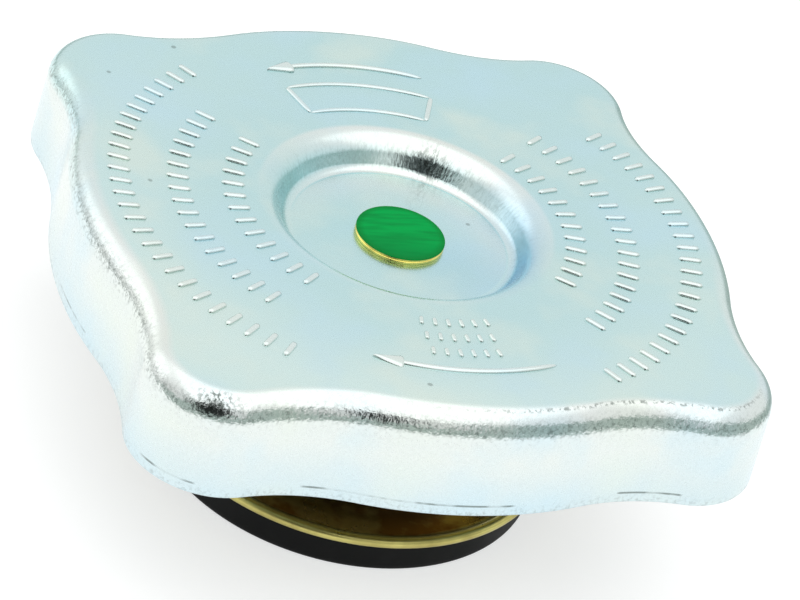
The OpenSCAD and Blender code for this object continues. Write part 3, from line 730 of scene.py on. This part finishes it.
class CAP_OT_cover(bpy.types.Operator):
    """Build the pressed cover and its folded lugs"""

    bl_idname = "radiator_cap.cover"
    bl_label = "Cover and lugs"

    def execute(self, context):
        s = context.scene.cap_cover
        outline, normal = cover_outline(s)
        section = cover_rows(s)
        r, d, m, z, fall = (section[:, k, None, None] for k in (0, 1, 2, 3, 7))
        way = outline / np.linalg.norm(outline, axis=1, keepdims=True)
        plan = (1 - m) * r * way + m * (outline - d * normal)
        height = z - s.lobe_fall * fall * lobe_share(plan)[..., None]
        # Grain coordinates: the place on a middle line, and the length along the section, which counts half
        # in the dish
        across = (1 - m) * r + m * (s.half_width - d)
        step = np.hypot(np.diff(across, axis=0, prepend=across[:1]), np.diff(z, axis=0, prepend=z[:1]))
        along = np.cumsum(step * (0.5 + 0.5 * m))[:, None, None]
        middle = (1 - m) * s.dish_rim_r * way + m * outline
        values = self.wear(s, section, np.degrees(np.arctan2(way[:, 1], way[:, 0])))
        values["drawn"] = np.concatenate([middle, np.broadcast_to(along, plan.shape[:2] + (1,))], axis=-1)
        points = np.concatenate([plan, height], axis=-1)
        faces = (grid_quads(*plan.shape[:2], True, True), [])
        put("pressed_cover", points, faces, ["zinc"], "cover", ["cover_shell"], values)
        self.lugs(s)
        return {"FINISHED"}

    def wear(self, s, section, turn):
        """The zinc's values for each row of the section, at each angle around the axis in degrees."""
        m, z, side, strain_and_dark_band, wall = (section[:, k, None] for k in (2, 3, 4, 5, 6))
        inside = m < 1
        depth = COVER_HIGH.z - z
        # Painted highlight on the shoulder's front and the dish's back; the skirt is bright all round
        front = np.clip(0.35 + 1.1 * facing(turn, -110), 0, 1)
        back = np.clip(0.35 + 0.8 * facing(turn, 65), 0.1, 1)
        skirt = np.clip((COVER_HIGH.z - 0.6 * s.shoulder_r - z) / (0.4 * s.shoulder_r), 0, 1)
        kept = np.where(inside, back, np.maximum(front, skirt))
        # On the front right the painted highlight starts lower on the shoulder
        late = np.where(inside, 1, 1 + 1.2 * hump(turn, -66, 22))
        # The dish's strain and its painted dark reflection are strongest at its back
        dish_strain_and_dark_back = np.where(inside, 0.35 + 0.4 * hump(turn, 60, 22), 1)
        # The film on the dish wall is teal on one side of the cap and blue on the other
        left = np.clip(facing(turn, 155), 0, 1) ** 3
        right = np.clip(facing(turn, -40), 0, 1) ** 4
        # Dark specks: a scuffed line on the shoulder's front right, and painted dark reflections in a patch
        # on the near lobe and one at the back of the dish
        tilt = np.degrees(np.arccos(np.clip(1 - depth / s.shoulder_r, 0, 1)))
        line = np.interp(tilt, [17, 21, 25, 29], [0, 1, 1, 0])
        line = line * np.interp(turn, [-130, -95, -80, -50, -38], [0, 0.2, 0.7, 0.7, 0])
        painted_dark_lobe = np.interp(tilt, [14, 28, 55, 70], [0, 1, 1, 0]) * hump(turn, -131, 2.6)
        painted_dark_dish = 0.8 * wall * hump(turn, 62, 6)
        scuff_and_dark_spots = np.where(inside, painted_dark_dish, np.maximum(line, painted_dark_lobe))
        # Where the trim line shows on the skirt
        spans = [(-139, -131), (-118, -84), (-64, -55), (-178, -165), (20, 41), (97, 121)]
        trim = sum(((turn > lo) & (turn < hi)).astype(float) for lo, hi in spans)
        return {
            "side": side**late * kept,
            "strain_and_dark_band": strain_and_dark_band * dish_strain_and_dark_back,
            "teal": 0.6 * wall * left,
            "blue": 0.9 * wall * right,
            "trim": np.broadcast_to(trim, scuff_and_dark_spots.shape),
            "scuff_and_dark_spots": scuff_and_dark_spots,
        }

    def lugs(self, s):
        """Two lugs: at each place y across, a rounded section from the inner arc to the skirt's middle."""
        half, lead, reach = 9.0 * MM, 2.0 * MM, 5.0 * MM
        low, high = COVER_LOW.z + 0.4 * MM, COVER_LOW.z + 1.6 * MM
        inner = s.half_width - s.sheet - reach
        y = half * np.sin(np.linspace(-PI / 2, PI / 2, 41))
        x0 = np.maximum(np.sqrt(inner**2 - y**2), inner + np.abs(y) - (half - lead))
        x1 = s.half_width - s.side_bow_r + np.sqrt((s.side_bow_r + s.flare - s.sheet / 2) ** 2 - y**2)
        section = eased([[0, low], [1, low], [1, high], [0, high]], 0.3 * MM)
        x = x0[:, None] + (x1 - x0)[:, None] * np.clip(section[:, 0], 0, 1)
        one = np.stack(np.broadcast_arrays(x, y[:, None], section[:, 1]), axis=-1)
        both = np.stack([one, one * np.array([-1, -1, 1])])
        values = {"side": np.full(both.shape[:3], 0.6), "drawn": both}
        put("folded_lugs", both, tubes(both), ["zinc"], "cover", values=values)


class CAP_OT_marks(bpy.types.Operator):
    """Raise the turn arrows and the ribs on the cover's top"""

    bl_idname = "radiator_cap.marks"
    bl_label = "Raised marks"

    def height(self, s, plan):
        """Height of the top under plan points: level to the flat ring, then easing by 3 m^2 - 2 m^3.

        m runs from 0 at the flat ring to 1 at the shoulder, where the lobes have their full fall.
        """
        outline, normal = cover_outline(s)
        edge = outline - s.shoulder_r * normal
        angle, turn = (np.arctan2(p[..., 1], p[..., 0]) for p in (edge, plan))
        order = np.argsort(angle)
        reach = np.interp(turn, angle[order], np.linalg.norm(edge, axis=1)[order], period=2 * PI)
        m = np.clip((np.linalg.norm(plan, axis=-1) - s.flat_r) / (reach - s.flat_r), 0, 1)
        g = m**2 * (3 - 2 * m)
        return COVER_HIGH.z - s.top_sink * (1 - g) - s.lobe_fall * g * lobe_share(plan)

    def raise_marks(self, name, s, paths, half_w, rise):
        """Puts one piece of beads along the given paths."""
        points = beads(paths, half_w, rise, self.height(s, paths))
        # The marks take painted highlight, as the bends do
        values = {"side": np.full(points.shape[:3], 0.7), "drawn": points}
        put(name, points, tubes(points), ["zinc"], "cover", values=values)

    def ring_bars(self, arcs, length, pitch, steps=12):
        """Paths of radial bars on arcs given as (radius in mm, first and last angle in degrees)."""
        spread = [np.radians(np.arange(lo, hi, math.degrees(pitch / (r * MM)))) for r, lo, hi in arcs]
        mid = np.repeat([r * MM for r, lo, hi in arcs], [len(angles) for angles in spread])[:, None]
        return polar(mid + length * np.linspace(-0.5, 0.5, steps), np.concatenate(spread)[:, None])

    def execute(self, context):
        s, k = context.scene.cap_cover, context.scene.cap_marks
        # Two turn arrows, by their angles in degrees: lines, and heads that narrow to their tips
        lines = np.radians([np.linspace(71, 106, 60), np.linspace(-71, -109, 60)])
        self.raise_marks("arrow_lines", s, polar(k.arrow_r, lines), k.arrow_w, k.rise)
        heads = np.radians([np.linspace(103, 110, 24), np.linspace(-106, -113, 24)])
        narrowing = k.head_w * np.linspace(1, 0.08, 24)
        self.raise_marks("arrow_heads", s, polar(k.arrow_r, heads), narrowing, 1.1 * k.rise)
        arcs = [
            (19.7, 142, 225), (25.9, 139, 223), (32.6, 127, 234),
            (19.4, -38, 42), (25.5, -50, 38), (32.6, -62, 31),
        ]
        ribs = self.ring_bars(arcs, k.rib_l, k.rib_pitch)
        self.raise_marks("grip_ribs", s, ribs, k.rib_w, k.rise)
        arcs = [(20.3, -101, -79), (22.9, -100, -80), (25.5, -99, -81)]
        ribs = self.ring_bars(arcs, k.short_l, 0.65 * k.rib_pitch)
        self.raise_marks("short_ribs", s, ribs, 0.7 * k.rib_w, 0.8 * k.rise)
        # A blank panel: two arcs and two radial bars
        near, far, first, last = 20.0 * MM, 25.2 * MM, math.radians(68), math.radians(109)
        across, round_axis = np.linspace(near, far, 40), np.linspace(first, last, 40)
        panel = [polar(near, round_axis), polar(far, round_axis), polar(across, first), polar(across, last)]
        self.raise_marks("blank_panel", s, np.stack(panel), 0.9 * k.rib_w, 0.8 * k.rise)
        return {"FINISHED"}


class CAP_OT_rivet(bpy.types.Operator):
    """Turn the rivet and paint its head"""

    bl_idname = "radiator_cap.rivet"
    bl_label = "Rivet"

    def execute(self, context):
        s = context.scene.cap_cover
        floor = COVER_HIGH.z - s.top_sink - s.dish_depth
        head, top, tail, low = RIVET_HIGH.x, RIVET_HIGH.z, 4.8 * MM, RIVET_LOW.z
        middle, tail_top = 0.3 * MM, low + 1.6 * MM
        groove = floor + 0.35 * MM
        corners = [
            [middle, top], [head, top],
            [head, groove + 0.1 * MM], [head - 0.12 * MM, groove], [head, groove - 0.1 * MM],
            [head, floor], [s.hole_r, floor],
            [s.hole_r, tail_top], [tail, tail_top], [tail, low], [middle, low],
        ]
        cut = np.array([1, 18, 3, 3, 3, 8, 2, 2, 8, 20, 1]) * 0.01 * MM
        section = eased(corners, cut, closed=False)
        rings = turned(section)
        # The paint covers the head's top and the disc that closes it
        painted = section[:-1, 1] > top - 0.1 * MM
        slots = np.concatenate([np.repeat(painted, rings.shape[1]), [True, False]])
        keys, faces = ["bright", "paint"], tubes(rings[None])
        put("painted_rivet", rings, faces, keys, "cover", ["rivet"], slots=slots)
        return {"FINISHED"}


class CAP_OT_carrier(bpy.types.Operator):
    """Build the washer, diaphragm, neck gasket, spring seat and housing"""

    bl_idname = "radiator_cap.carrier"
    bl_label = "Carrier"

    def execute(self, context):
        v = context.scene.cap_valve
        put_washer("pressed_washer", "friction_washer", BORE_R, "brass", "cover")
        # Diaphragm: a raised middle, a cone and a flat outer ring, of even thickness
        low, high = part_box("diaphragm")
        t = 0.4 * MM
        mid_z = high.z - t
        under = np.array([[BORE_R, mid_z], [17.9 * MM, mid_z], [24.8 * MM, low.z], [high.x, low.z]])
        cut = np.array([1, 12, 12, 1, 1, 12, 12, 1]) * 0.1 * MM
        section = eased(np.concatenate([under, under[::-1] + [0, t]]), cut)
        put_turned("spring_diaphragm", section, "brass", "carrier", "diaphragm")
        # Neck gasket: a flat ring, chamfered below
        low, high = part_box("neck_gasket")
        c = (high.z - low.z) / 4
        inner = 25.6 * MM
        ring = [
            [inner, high.z], [inner, low.z + c], [inner + c, low.z],
            [high.x - c, low.z], [high.x, low.z + c], [high.x, high.z],
        ]
        put_turned("neck_seal", eased(ring, 1.5 * v.edge), "rubber", "carrier", "neck_gasket")
        # Spring seat: a washer with its rim turned down
        low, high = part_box("spring_seat")
        under, wall = high.z - SHEET, high.x - SHEET
        ring = [
            [BORE_R, under], [wall, under], [wall, low.z],
            [high.x, low.z], [high.x, high.z], [BORE_R, high.z],
        ]
        cut = np.array([1, 3, 1, 1, 4, 1]) * 1.2 * v.edge
        put_turned("rimmed_seat", eased(ring, cut), "brass", "carrier", "spring_seat")
        self.housing(v.windows)
        return {"FINISHED"}

    def housing(self, windows):
        """A cup turned over: its closed section is turned about Z, without the quads inside a window.

        Each window is closed by jambs between the outer and the inner wall.
        """
        low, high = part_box("spring_housing")
        r, t, bend_r, lip, ease = high.x, SHEET, 1.6 * MM, 9.95 * MM, 0.3 * MM
        half, fillet = 3.5 * MM, 0.1 * MM
        tall, broad, between = 5, 10, 26
        mid = (high.z + low.z) / 2
        centre = (r - bend_r, high.z - bend_r)
        levels = np.linspace(mid + half, mid - half, tall + 1)
        outer = np.stack([np.full(tall + 1, r), levels], axis=1)
        parts = [
            [[BORE_R, high.z - t], [BORE_R, high.z]],
            bend(centre, bend_r, 90, 0, 9),
            outer,
            bend((r - ease, low.z + ease), ease, 0, -90, 5),
            [[lip, low.z], [lip, low.z + t], [r - t - fillet, low.z + t], [r - t, low.z + t + fillet]],
            outer[::-1] - [t, 0],
            bend(centre, bend_r - t, 0, 90, 7),
        ]
        section = np.concatenate(parts)
        # First rows of the outer and of the inner wall, and the last row of the inner wall
        after = np.cumsum([len(part) for part in parts])
        out0, in0, in1 = after[1], after[4], after[4] + tall
        wide = math.asin(half / r)
        pitch = 2 * PI / windows
        window = np.linspace(-wide, wide, broad, endpoint=False)
        post = np.linspace(wide, pitch - wide, between, endpoint=False)
        a = (np.concatenate([window, post]) + pitch * (np.arange(windows)[:, None] + 0.5)).ravel()
        rings = polar(section[:, :1], a, section[:, 1:])
        rows, cols = rings.shape[:2]
        quads = grid_quads(rows, cols, True, True)
        row, col = quads[:, 0] // cols, quads[:, 0] % cols % (broad + between)
        wall = ((row >= out0) & (row < out0 + tall)) | ((row >= in0) & (row < in1))
        # Corner numbers of the jambs: upper, lower, first and second side
        first = np.arange(windows) * (broad + between)
        j = (first[:, None] + np.arange(broad)).ravel()
        k = j + 1
        i = out0 + np.arange(tall)[:, None]
        q = in1 - np.arange(tall)[:, None]
        j0, j1 = first[None], first[None] + broad
        jambs = [
            [out0 * cols + j, out0 * cols + k, in1 * cols + k, in1 * cols + j],
            [(out0 + tall) * cols + k, (out0 + tall) * cols + j, in0 * cols + j, in0 * cols + k],
            [(i + 1) * cols + j0, i * cols + j0, q * cols + j0, (q - 1) * cols + j0],
            [i * cols + j1, (i + 1) * cols + j1, (q - 1) * cols + j1, q * cols + j1],
        ]
        sides = [np.stack([corner.ravel() for corner in jamb], axis=-1) for jamb in jambs]
        faces = (np.concatenate([quads[~(wall & (col < broad))], *sides]), [])
        put("windowed_housing", rings, faces, ["brass"], "carrier", ["spring_housing"])


class CAP_OT_springs(bpy.types.Operator):
    """Wind the pressure spring and the vacuum spring"""

    bl_idname = "radiator_cap.springs"
    bl_label = "Springs"

    def execute(self, context):
        v = context.scene.cap_valve
        low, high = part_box("pressure_spring")
        rings = coil(14.8 * MM, v.wire, v.turns, low.z, high.z)
        self.wind(
            "pressure_coil", rings, "carrier", "pressure_spring", "pressure_valve_slide", high.z, 5 * MM
        )
        low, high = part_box("vacuum_spring")
        rings = coil(2.5 * MM, 0.6 * MM, 5, low.z, high.z, sides=14, steps=40)
        self.wind(
            "vacuum_coil", rings, "pressure_valve", "vacuum_spring", "vacuum_valve_slide", low.z, 1.5 * MM
        )
        return {"FINISHED"}

    def wind(self, name, rings, body, node, joint, fixed_z, travel):
        """Puts a coil in place of its CAD node. The joint, fixed_z and travel are not used."""
        piece = put(name, rings, tubes(rings[None]), ["steel"], body, [node])
        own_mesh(piece)


class CAP_OT_valve(bpy.types.Operator):
    """Build the valve plate, its gasket, the retainer and the vacuum valve"""

    bl_idname = "radiator_cap.valve"
    bl_label = "Valves"

    def execute(self, context):
        bead_r = context.scene.cap_valve.bead_r
        # Plate: a flat disc whose edge is rolled into a bead, with painted shade in brown inside the bead,
        # under the cover
        low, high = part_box("valve_plate")
        bead = (high.x - bead_r, high.z - bead_r)
        upper = low.z + SHEET
        flat, roll = [[HUB_R, low.z], [21.5 * MM, low.z]], bend(bead, bead_r, -100, 205, 36)
        section = np.concatenate([flat, roll, [[21.9 * MM, upper], [HUB_R, upper]]])
        # Painted shade inside the bead, where the cover shades the plate
        film = {"film": np.clip((bead[0] - bead_r - section[:, 0]) / (0.4 * MM), 0, 0.8)}
        put_turned("rolled_plate", section, "brass", "pressure_valve", "valve_plate", values=film)
        # Gasket: a thick ring with a recess below for the retainer
        low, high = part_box("valve_gasket")
        recess, web = 16.2 * MM, 1.9 * MM
        ring = [
            [HUB_R, high.z], [HUB_R, web], [recess, web],
            [recess, low.z], [high.x, low.z], [high.x, high.z],
        ]
        section = eased(ring, np.array([1, 1, 1, 4, 7, 2]) * 0.12 * MM, steps=8)
        put_turned("valve_seal", section, "rubber", "pressure_valve", "valve_gasket")
        put_washer("seal_retainer", "gasket_retainer", HUB_R, "brass", "pressure_valve")
        put_washer("vacuum_pad", "vacuum_seal", STEM_R, "rubber", "vacuum_valve")
        put_washer("stem_clip", "vacuum_clip", STEM_R, "steel", "vacuum_valve")
        # Vacuum valve: a disc and its stem
        low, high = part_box("vacuum_valve")
        disc, middle = low.z + 0.8 * MM, 0.2 * MM
        line = [
            [middle, low.z], [high.x, low.z], [high.x, disc],
            [STEM_R, disc], [STEM_R, high.z], [middle, high.z],
        ]
        section = eased(line, np.array([1, 20, 10, 10, 25, 1]) * 0.01 * MM, closed=False)
        put_turned("vacuum_disc", section, "brass", "vacuum_valve", "vacuum_valve", closed=False)
        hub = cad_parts["valve_hub"]
        hub.data.materials.clear()
        hub.data.materials.append(finish("brass"))
        return {"FINISHED"}


class CAP_OT_stage(bpy.types.Operator):
    """Set the floor, the cards, the lights and the camera"""

    bl_idname = "radiator_cap.stage"
    bl_label = "Stage"

    def execute(self, context):
        stage, c = context.scene.cap_stage, context.scene.cap_finishes
        context.scene.view_settings.view_transform = "Standard"
        self.world(context.scene)
        self.floor(c)
        self.cards(c, [self.floor_and_wall(), self.white_card(), self.dark_strip(), self.softbox(stage)])
        self.camera(stage)
        return {"FINISHED"}

    def seen(self, tree):
        """1 on rays from the camera, a mirror or a clear solid, 0 on rays that only light."""
        kinds = ("Is Camera Ray", "Is Glossy Ray", "Is Transmission Ray")
        eye, mirror, clear = (add(tree, "LightPath", out=kind) for kind in kinds)
        shine = add(tree, "Math", {0: eye, 1: mirror}, operation="ADD")
        return add(tree, "Math", {0: shine, 1: clear}, operation="ADD")

    def world(self, scene):
        """A white room where it is seen, and a dimmer one where it only lights."""
        world = bpy.data.worlds.new("studio")
        world.use_nodes = True
        tree = world.node_tree
        room = tree.nodes["Background"]
        room.inputs["Color"].default_value = (1, 1, 1, 1)
        level = add(tree, "MapRange", {0: self.seen(tree), 3: 0.55, 4: 1.0})
        tree.links.new(level, room.inputs["Strength"])
        scene.world = world

    def stand(self, name, points, faces, material):
        """Puts a mesh that belongs to the stage and not to the cap."""
        mesh = bpy.data.meshes.new(name)
        mesh.from_pydata(points.reshape(-1, 3).tolist(), [], faces)
        mesh.materials.append(material)
        made = bpy.data.objects.new(name, mesh)
        bpy.context.scene.collection.objects.link(made)
        return made

    def floor(self, c):
        """A flat disc under the cap, with light of its own only where it is seen, so it keeps the shadow."""
        made, tree, shader, at = start("studio_floor_painted", Roughness=0.9)
        # Faint mottle about 40 mm wide
        mottle = add(tree, "TexNoise", {"Vector": at, "Scale": per(40), "Detail": 2.0})
        shade = add(tree, "MapRange", {0: mottle, 3: 0.985, 4: 1.0})
        multiply = {"data_type": "RGBA", "blend_type": "MULTIPLY"}
        tone = add(tree, "Mix", {0: 1.0, 6: rgba(c.floor), 7: shade}, 2, **multiply)
        reach = add(tree, "VectorMath", {0: at}, "Value", operation="LENGTH")
        level = add(tree, "MapRange", {0: reach, 1: 0.25, 2: 0.8, 3: 1.25, 4: 1.5})
        glow = add(tree, "Math", {0: self.seen(tree), 1: level}, operation="MULTIPLY")
        tree.links.new(tone, shader.inputs["Base Color"])
        tree.links.new(tone, shader.inputs["Emission Color"])
        tree.links.new(glow, shader.inputs["Emission Strength"])
        rows, cols, under = 12, 96, -0.02 * MM
        r = np.linspace(0.01, 3.0, rows)
        rings = turned(np.stack([r, np.full(rows, under)], axis=1), cols)
        faces = grid_quads(rows, cols, False, True)[:, ::-1].tolist() + [list(range(cols))]
        self.stand("floor", rings, faces, made)

    def softbox(self, stage):
        """The lamp, hidden from mirrors, and its face as a card that fades into the room at its edges."""
        lamp = bpy.data.lights.new("softbox", "AREA")
        lamp.size = stage.softbox_w
        lamp.energy = stage.softbox_power
        softbox = bpy.data.objects.new("softbox", lamp)
        place, aim = Vector((-0.05, -0.12, stage.softbox_z)), Vector((0, 0, 0.02))
        turn = (place - aim).to_track_quat("Z", "Y")
        softbox.location = place
        softbox.rotation_euler = turn.to_euler()
        softbox.visible_glossy = False
        bpy.context.scene.collection.objects.link(softbox)
        u = np.linspace(-0.5, 0.5, 21)
        x, y = np.meshgrid(u, u, indexing="ij")
        face = np.stack([x, y, np.zeros(x.shape)], axis=-1) * stage.softbox_w
        face = np.array(place) + face @ np.array(turn.to_matrix()).T
        border = 0.08
        inside = np.clip((0.5 - np.maximum(np.abs(x), np.abs(y))) / border, 0, 1)
        return face, 2.0 + 0.95 * inside, False

    def floor_and_wall(self):
        """A ring on the floor and a wall outside it, which is highest near -115 degrees around the axis.

        The ring's inner radius, the wall's height and the light follow the angle around the axis.
        """
        a = np.linspace(-PI, PI, 240, endpoint=False)
        deg = np.degrees(a)
        off = np.degrees((a - math.radians(-115) + PI) % (2 * PI) - PI)
        high = np.interp(
            off,
            [-115, -90, -55, 0, 18, 36, 60, 85, 110, 125],
            [0.004, 0.1, 0.9, 1.12, 1.08, 0.78, 0.74, 0.45, 0.25, 0.05],
        )
        inner = np.interp(
            deg,
            [-180, -165, -10, 10, 60, 80, 100, 120, 180],
            [0.3, 0.13, 0.13, 0.07, 0.07, 0.13, 0.13, 0.3, 0.3],
        )
        ring = polar(inner + (CARD_R - inner) * np.array([0, 0.2, 0.55, 1])[:, None], a, CARD_Z)
        rise = CARD_Z + np.linspace(0.1, 1, 12)[:, None] * high
        # From 0.17 m up the wall is brighter on both sides of its dark patch
        bright = np.interp(
            deg,
            [-180, -160, -145, -98, -92, -78, -70, 150, 180],
            [1.7, 1.6, 1.0, 1.0, 1.7, 1.7, 1.0, 1.0, 1.7],
        )
        light = 1 + (bright - 1) * np.clip((rise - 0.17) / 0.1, 0, 1)
        # On the left the cards are paler down to the floor
        pale = np.interp(deg, [112, 130, 165, 180], [0, 0.3, 0.3, 0])
        light = np.concatenate([np.ones(ring.shape[:2]), light]) + pale
        return np.concatenate([ring, polar(CARD_R, a, rise)]), light, True

    def white_card(self):
        """A white card on the left, from 10 to 52 degrees up, which fades into the room at its edges."""
        turn, lift = np.linspace(114, 166, 40), np.linspace(10, 52, 16)[:, None]
        card = polar(CARD_R, np.radians(turn), CARD_R * np.tan(np.radians(lift)))
        across = np.interp(turn, [114, 126, 152, 166], [0, 1, 1, 0])
        return card, 2.0 + 0.9 * (across * np.interp(lift, [10, 18, 42, 52], [0, 1, 1, 0])), False

    def dark_strip(self):
        """A dark strip under the softbox, which carries the dark patch upwards and narrows to its top."""
        rows, distance = 12, 0.45
        lift = np.radians(np.linspace(36, 62, rows))[:, None]
        turn = np.radians(-120 + np.linspace(-1, 1, 10) * np.linspace(13, 5, rows)[:, None])
        return distance * polar(np.cos(lift), turn, np.sin(lift)), 0.03, False

    def cards(self, c, sheets):
        """Cards lit from behind, out of the picture, which only mirrors see.

        They draw the grey line along the shoulder, and the wall's dark patch draws the spots in the dish and
        on the near lobe. Each sheet has its points, its light and whether it closes around the axis.
        """
        made, tree, shader, at = start("paper_card_backlit", Base_Color=(0, 0, 0, 1), Roughness=1.0)
        # The dark patch: an oval with a ragged edge, at -118 degrees around the axis and 29 degrees up
        turn, lift = math.radians(-118), math.radians(29)
        core = CARD_R * Vector((math.cos(turn), math.sin(turn), math.tan(lift)))
        apart = add(tree, "VectorMath", {0: at, 1: core}, operation="SUBTRACT")
        oval = add(tree, "VectorMath", {0: apart, 1: (1, 1, 0.75)}, operation="MULTIPLY")
        away = add(tree, "VectorMath", {0: oval}, "Value", operation="LENGTH")
        nap = add(tree, "TexNoise", {"Vector": at, "Scale": per(60), "Detail": 3.0})
        ragged = add(tree, "Math", {0: nap, 1: 0.12, 2: away}, operation="MULTIPLY_ADD")
        share = add(tree, "MapRange", {0: ragged, 1: 0.48, 2: 0.7}, interpolation_type="SMOOTHSTEP")
        # Around it grey paper with clouds about 60 mm wide, and neutral where the card is brightest
        light = add(tree, "Attribute", out="Fac", attribute_name="light")
        cloud = add(tree, "MapRange", {0: nap, 1: 0.38, 2: 0.62})
        white = add(tree, "MapRange", {0: light, 1: 1.0, 2: 1.4})
        tone = rgba(c.card_dull)
        for mix, colour in ((cloud, rgba(c.card)), (white, NEUTRAL)):
            tone = add(tree, "Mix", {0: mix, 6: tone, 7: colour}, 2, data_type="RGBA")
        tone = add(tree, "Mix", {0: share, 6: rgba(c.card_core), 7: tone}, 2, data_type="RGBA")
        tree.links.new(tone, shader.inputs["Emission Color"])
        tree.links.new(light, shader.inputs["Emission Strength"])
        points, levels, faces, first = [], [], [], 0
        for sheet, level, closed in sheets:
            rows, cols = sheet.shape[:2]
            points.append(sheet.reshape(-1, 3))
            levels.append(np.broadcast_to(level, (rows, cols)).ravel())
            faces.append(grid_quads(rows, cols, False, closed) + first)
            first += rows * cols
        cards = self.stand("cards", np.concatenate(points), np.concatenate(faces).tolist(), made)
        glow = cards.data.attributes.new("light", "FLOAT", "POINT")
        glow.data.foreach_set("value", np.concatenate(levels).astype(np.float32))
        cards.visible_camera = False
        cards.visible_diffuse = False
        cards.visible_shadow = False

    def camera(self, stage):
        """The camera, turned by azimuth, elevation and roll."""
        az, el, roll = stage.azimuth, stage.elevation, stage.roll
        back = Vector((math.sin(az) * math.cos(el), -math.cos(az) * math.cos(el), math.sin(el)))
        right = Vector((math.cos(az), math.sin(az), 0))
        up = back.cross(right)
        x_axis = math.cos(roll) * right + math.sin(roll) * up
        y_axis = math.cos(roll) * up - math.sin(roll) * right
        camera = bpy.data.cameras.new("camera")
        camera.lens = stage.lens
        camera.sensor_width = 36.0
        camera.clip_start = 0.01
        eye = bpy.data.objects.new("camera", camera)
        axes = Matrix((x_axis, y_axis, back)).transposed()
        eye.matrix_world = Matrix.Translation(stage.place) @ axes.to_4x4()
        bpy.context.scene.collection.objects.link(eye)
        bpy.context.scene.camera = eye


OPERATORS = (
    CAP_OT_stage,
    CAP_OT_cover,
    CAP_OT_marks,
    CAP_OT_rivet,
    CAP_OT_carrier,
    CAP_OT_springs,
    CAP_OT_valve,
)
GROUPS = (
    ("cap_cover", CoverSizes),
    ("cap_marks", MarkSizes),
    ("cap_valve", ValveSizes),
    ("cap_finishes", Finishes),
    ("cap_stage", StageSizes),
)


class CAP_PT_panel(bpy.types.Panel):
    """Lists the operators and their values"""

    bl_label = "Radiator cap"
    bl_space_type = "VIEW_3D"
    bl_region_type = "UI"
    bl_category = "Radiator cap"

    def draw(self, context):
        for operator in OPERATORS:
            self.layout.operator(operator.bl_idname)
        for key, group in GROUPS:
            box = self.layout.box()
            box.label(text=group.__doc__)
            for prop in group.__annotations__:
                box.prop(getattr(context.scene, key), prop)


def register():
    """Registers the classes and hangs the values on the scene."""
    for key, group in GROUPS:
        bpy.utils.register_class(group)
        setattr(bpy.types.Scene, key, PointerProperty(type=group))
    for item in (*OPERATORS, CAP_PT_panel):
        bpy.utils.register_class(item)


def unregister():
    """Takes away what register added."""
    for item in (CAP_PT_panel, *reversed(OPERATORS)):
        bpy.utils.unregister_class(item)
    for key, group in reversed(GROUPS):
        delattr(bpy.types.Scene, key)
        bpy.utils.unregister_class(group)


def main():
    """Builds everything in order."""
    register()
    bpy.ops.radiator_cap.stage()
    bpy.ops.radiator_cap.cover()
    bpy.ops.radiator_cap.marks()
    bpy.ops.radiator_cap.rivet()
    bpy.ops.radiator_cap.carrier()
    bpy.ops.radiator_cap.springs()
    bpy.ops.radiator_cap.valve()


if __name__ == "__main__":
    main()
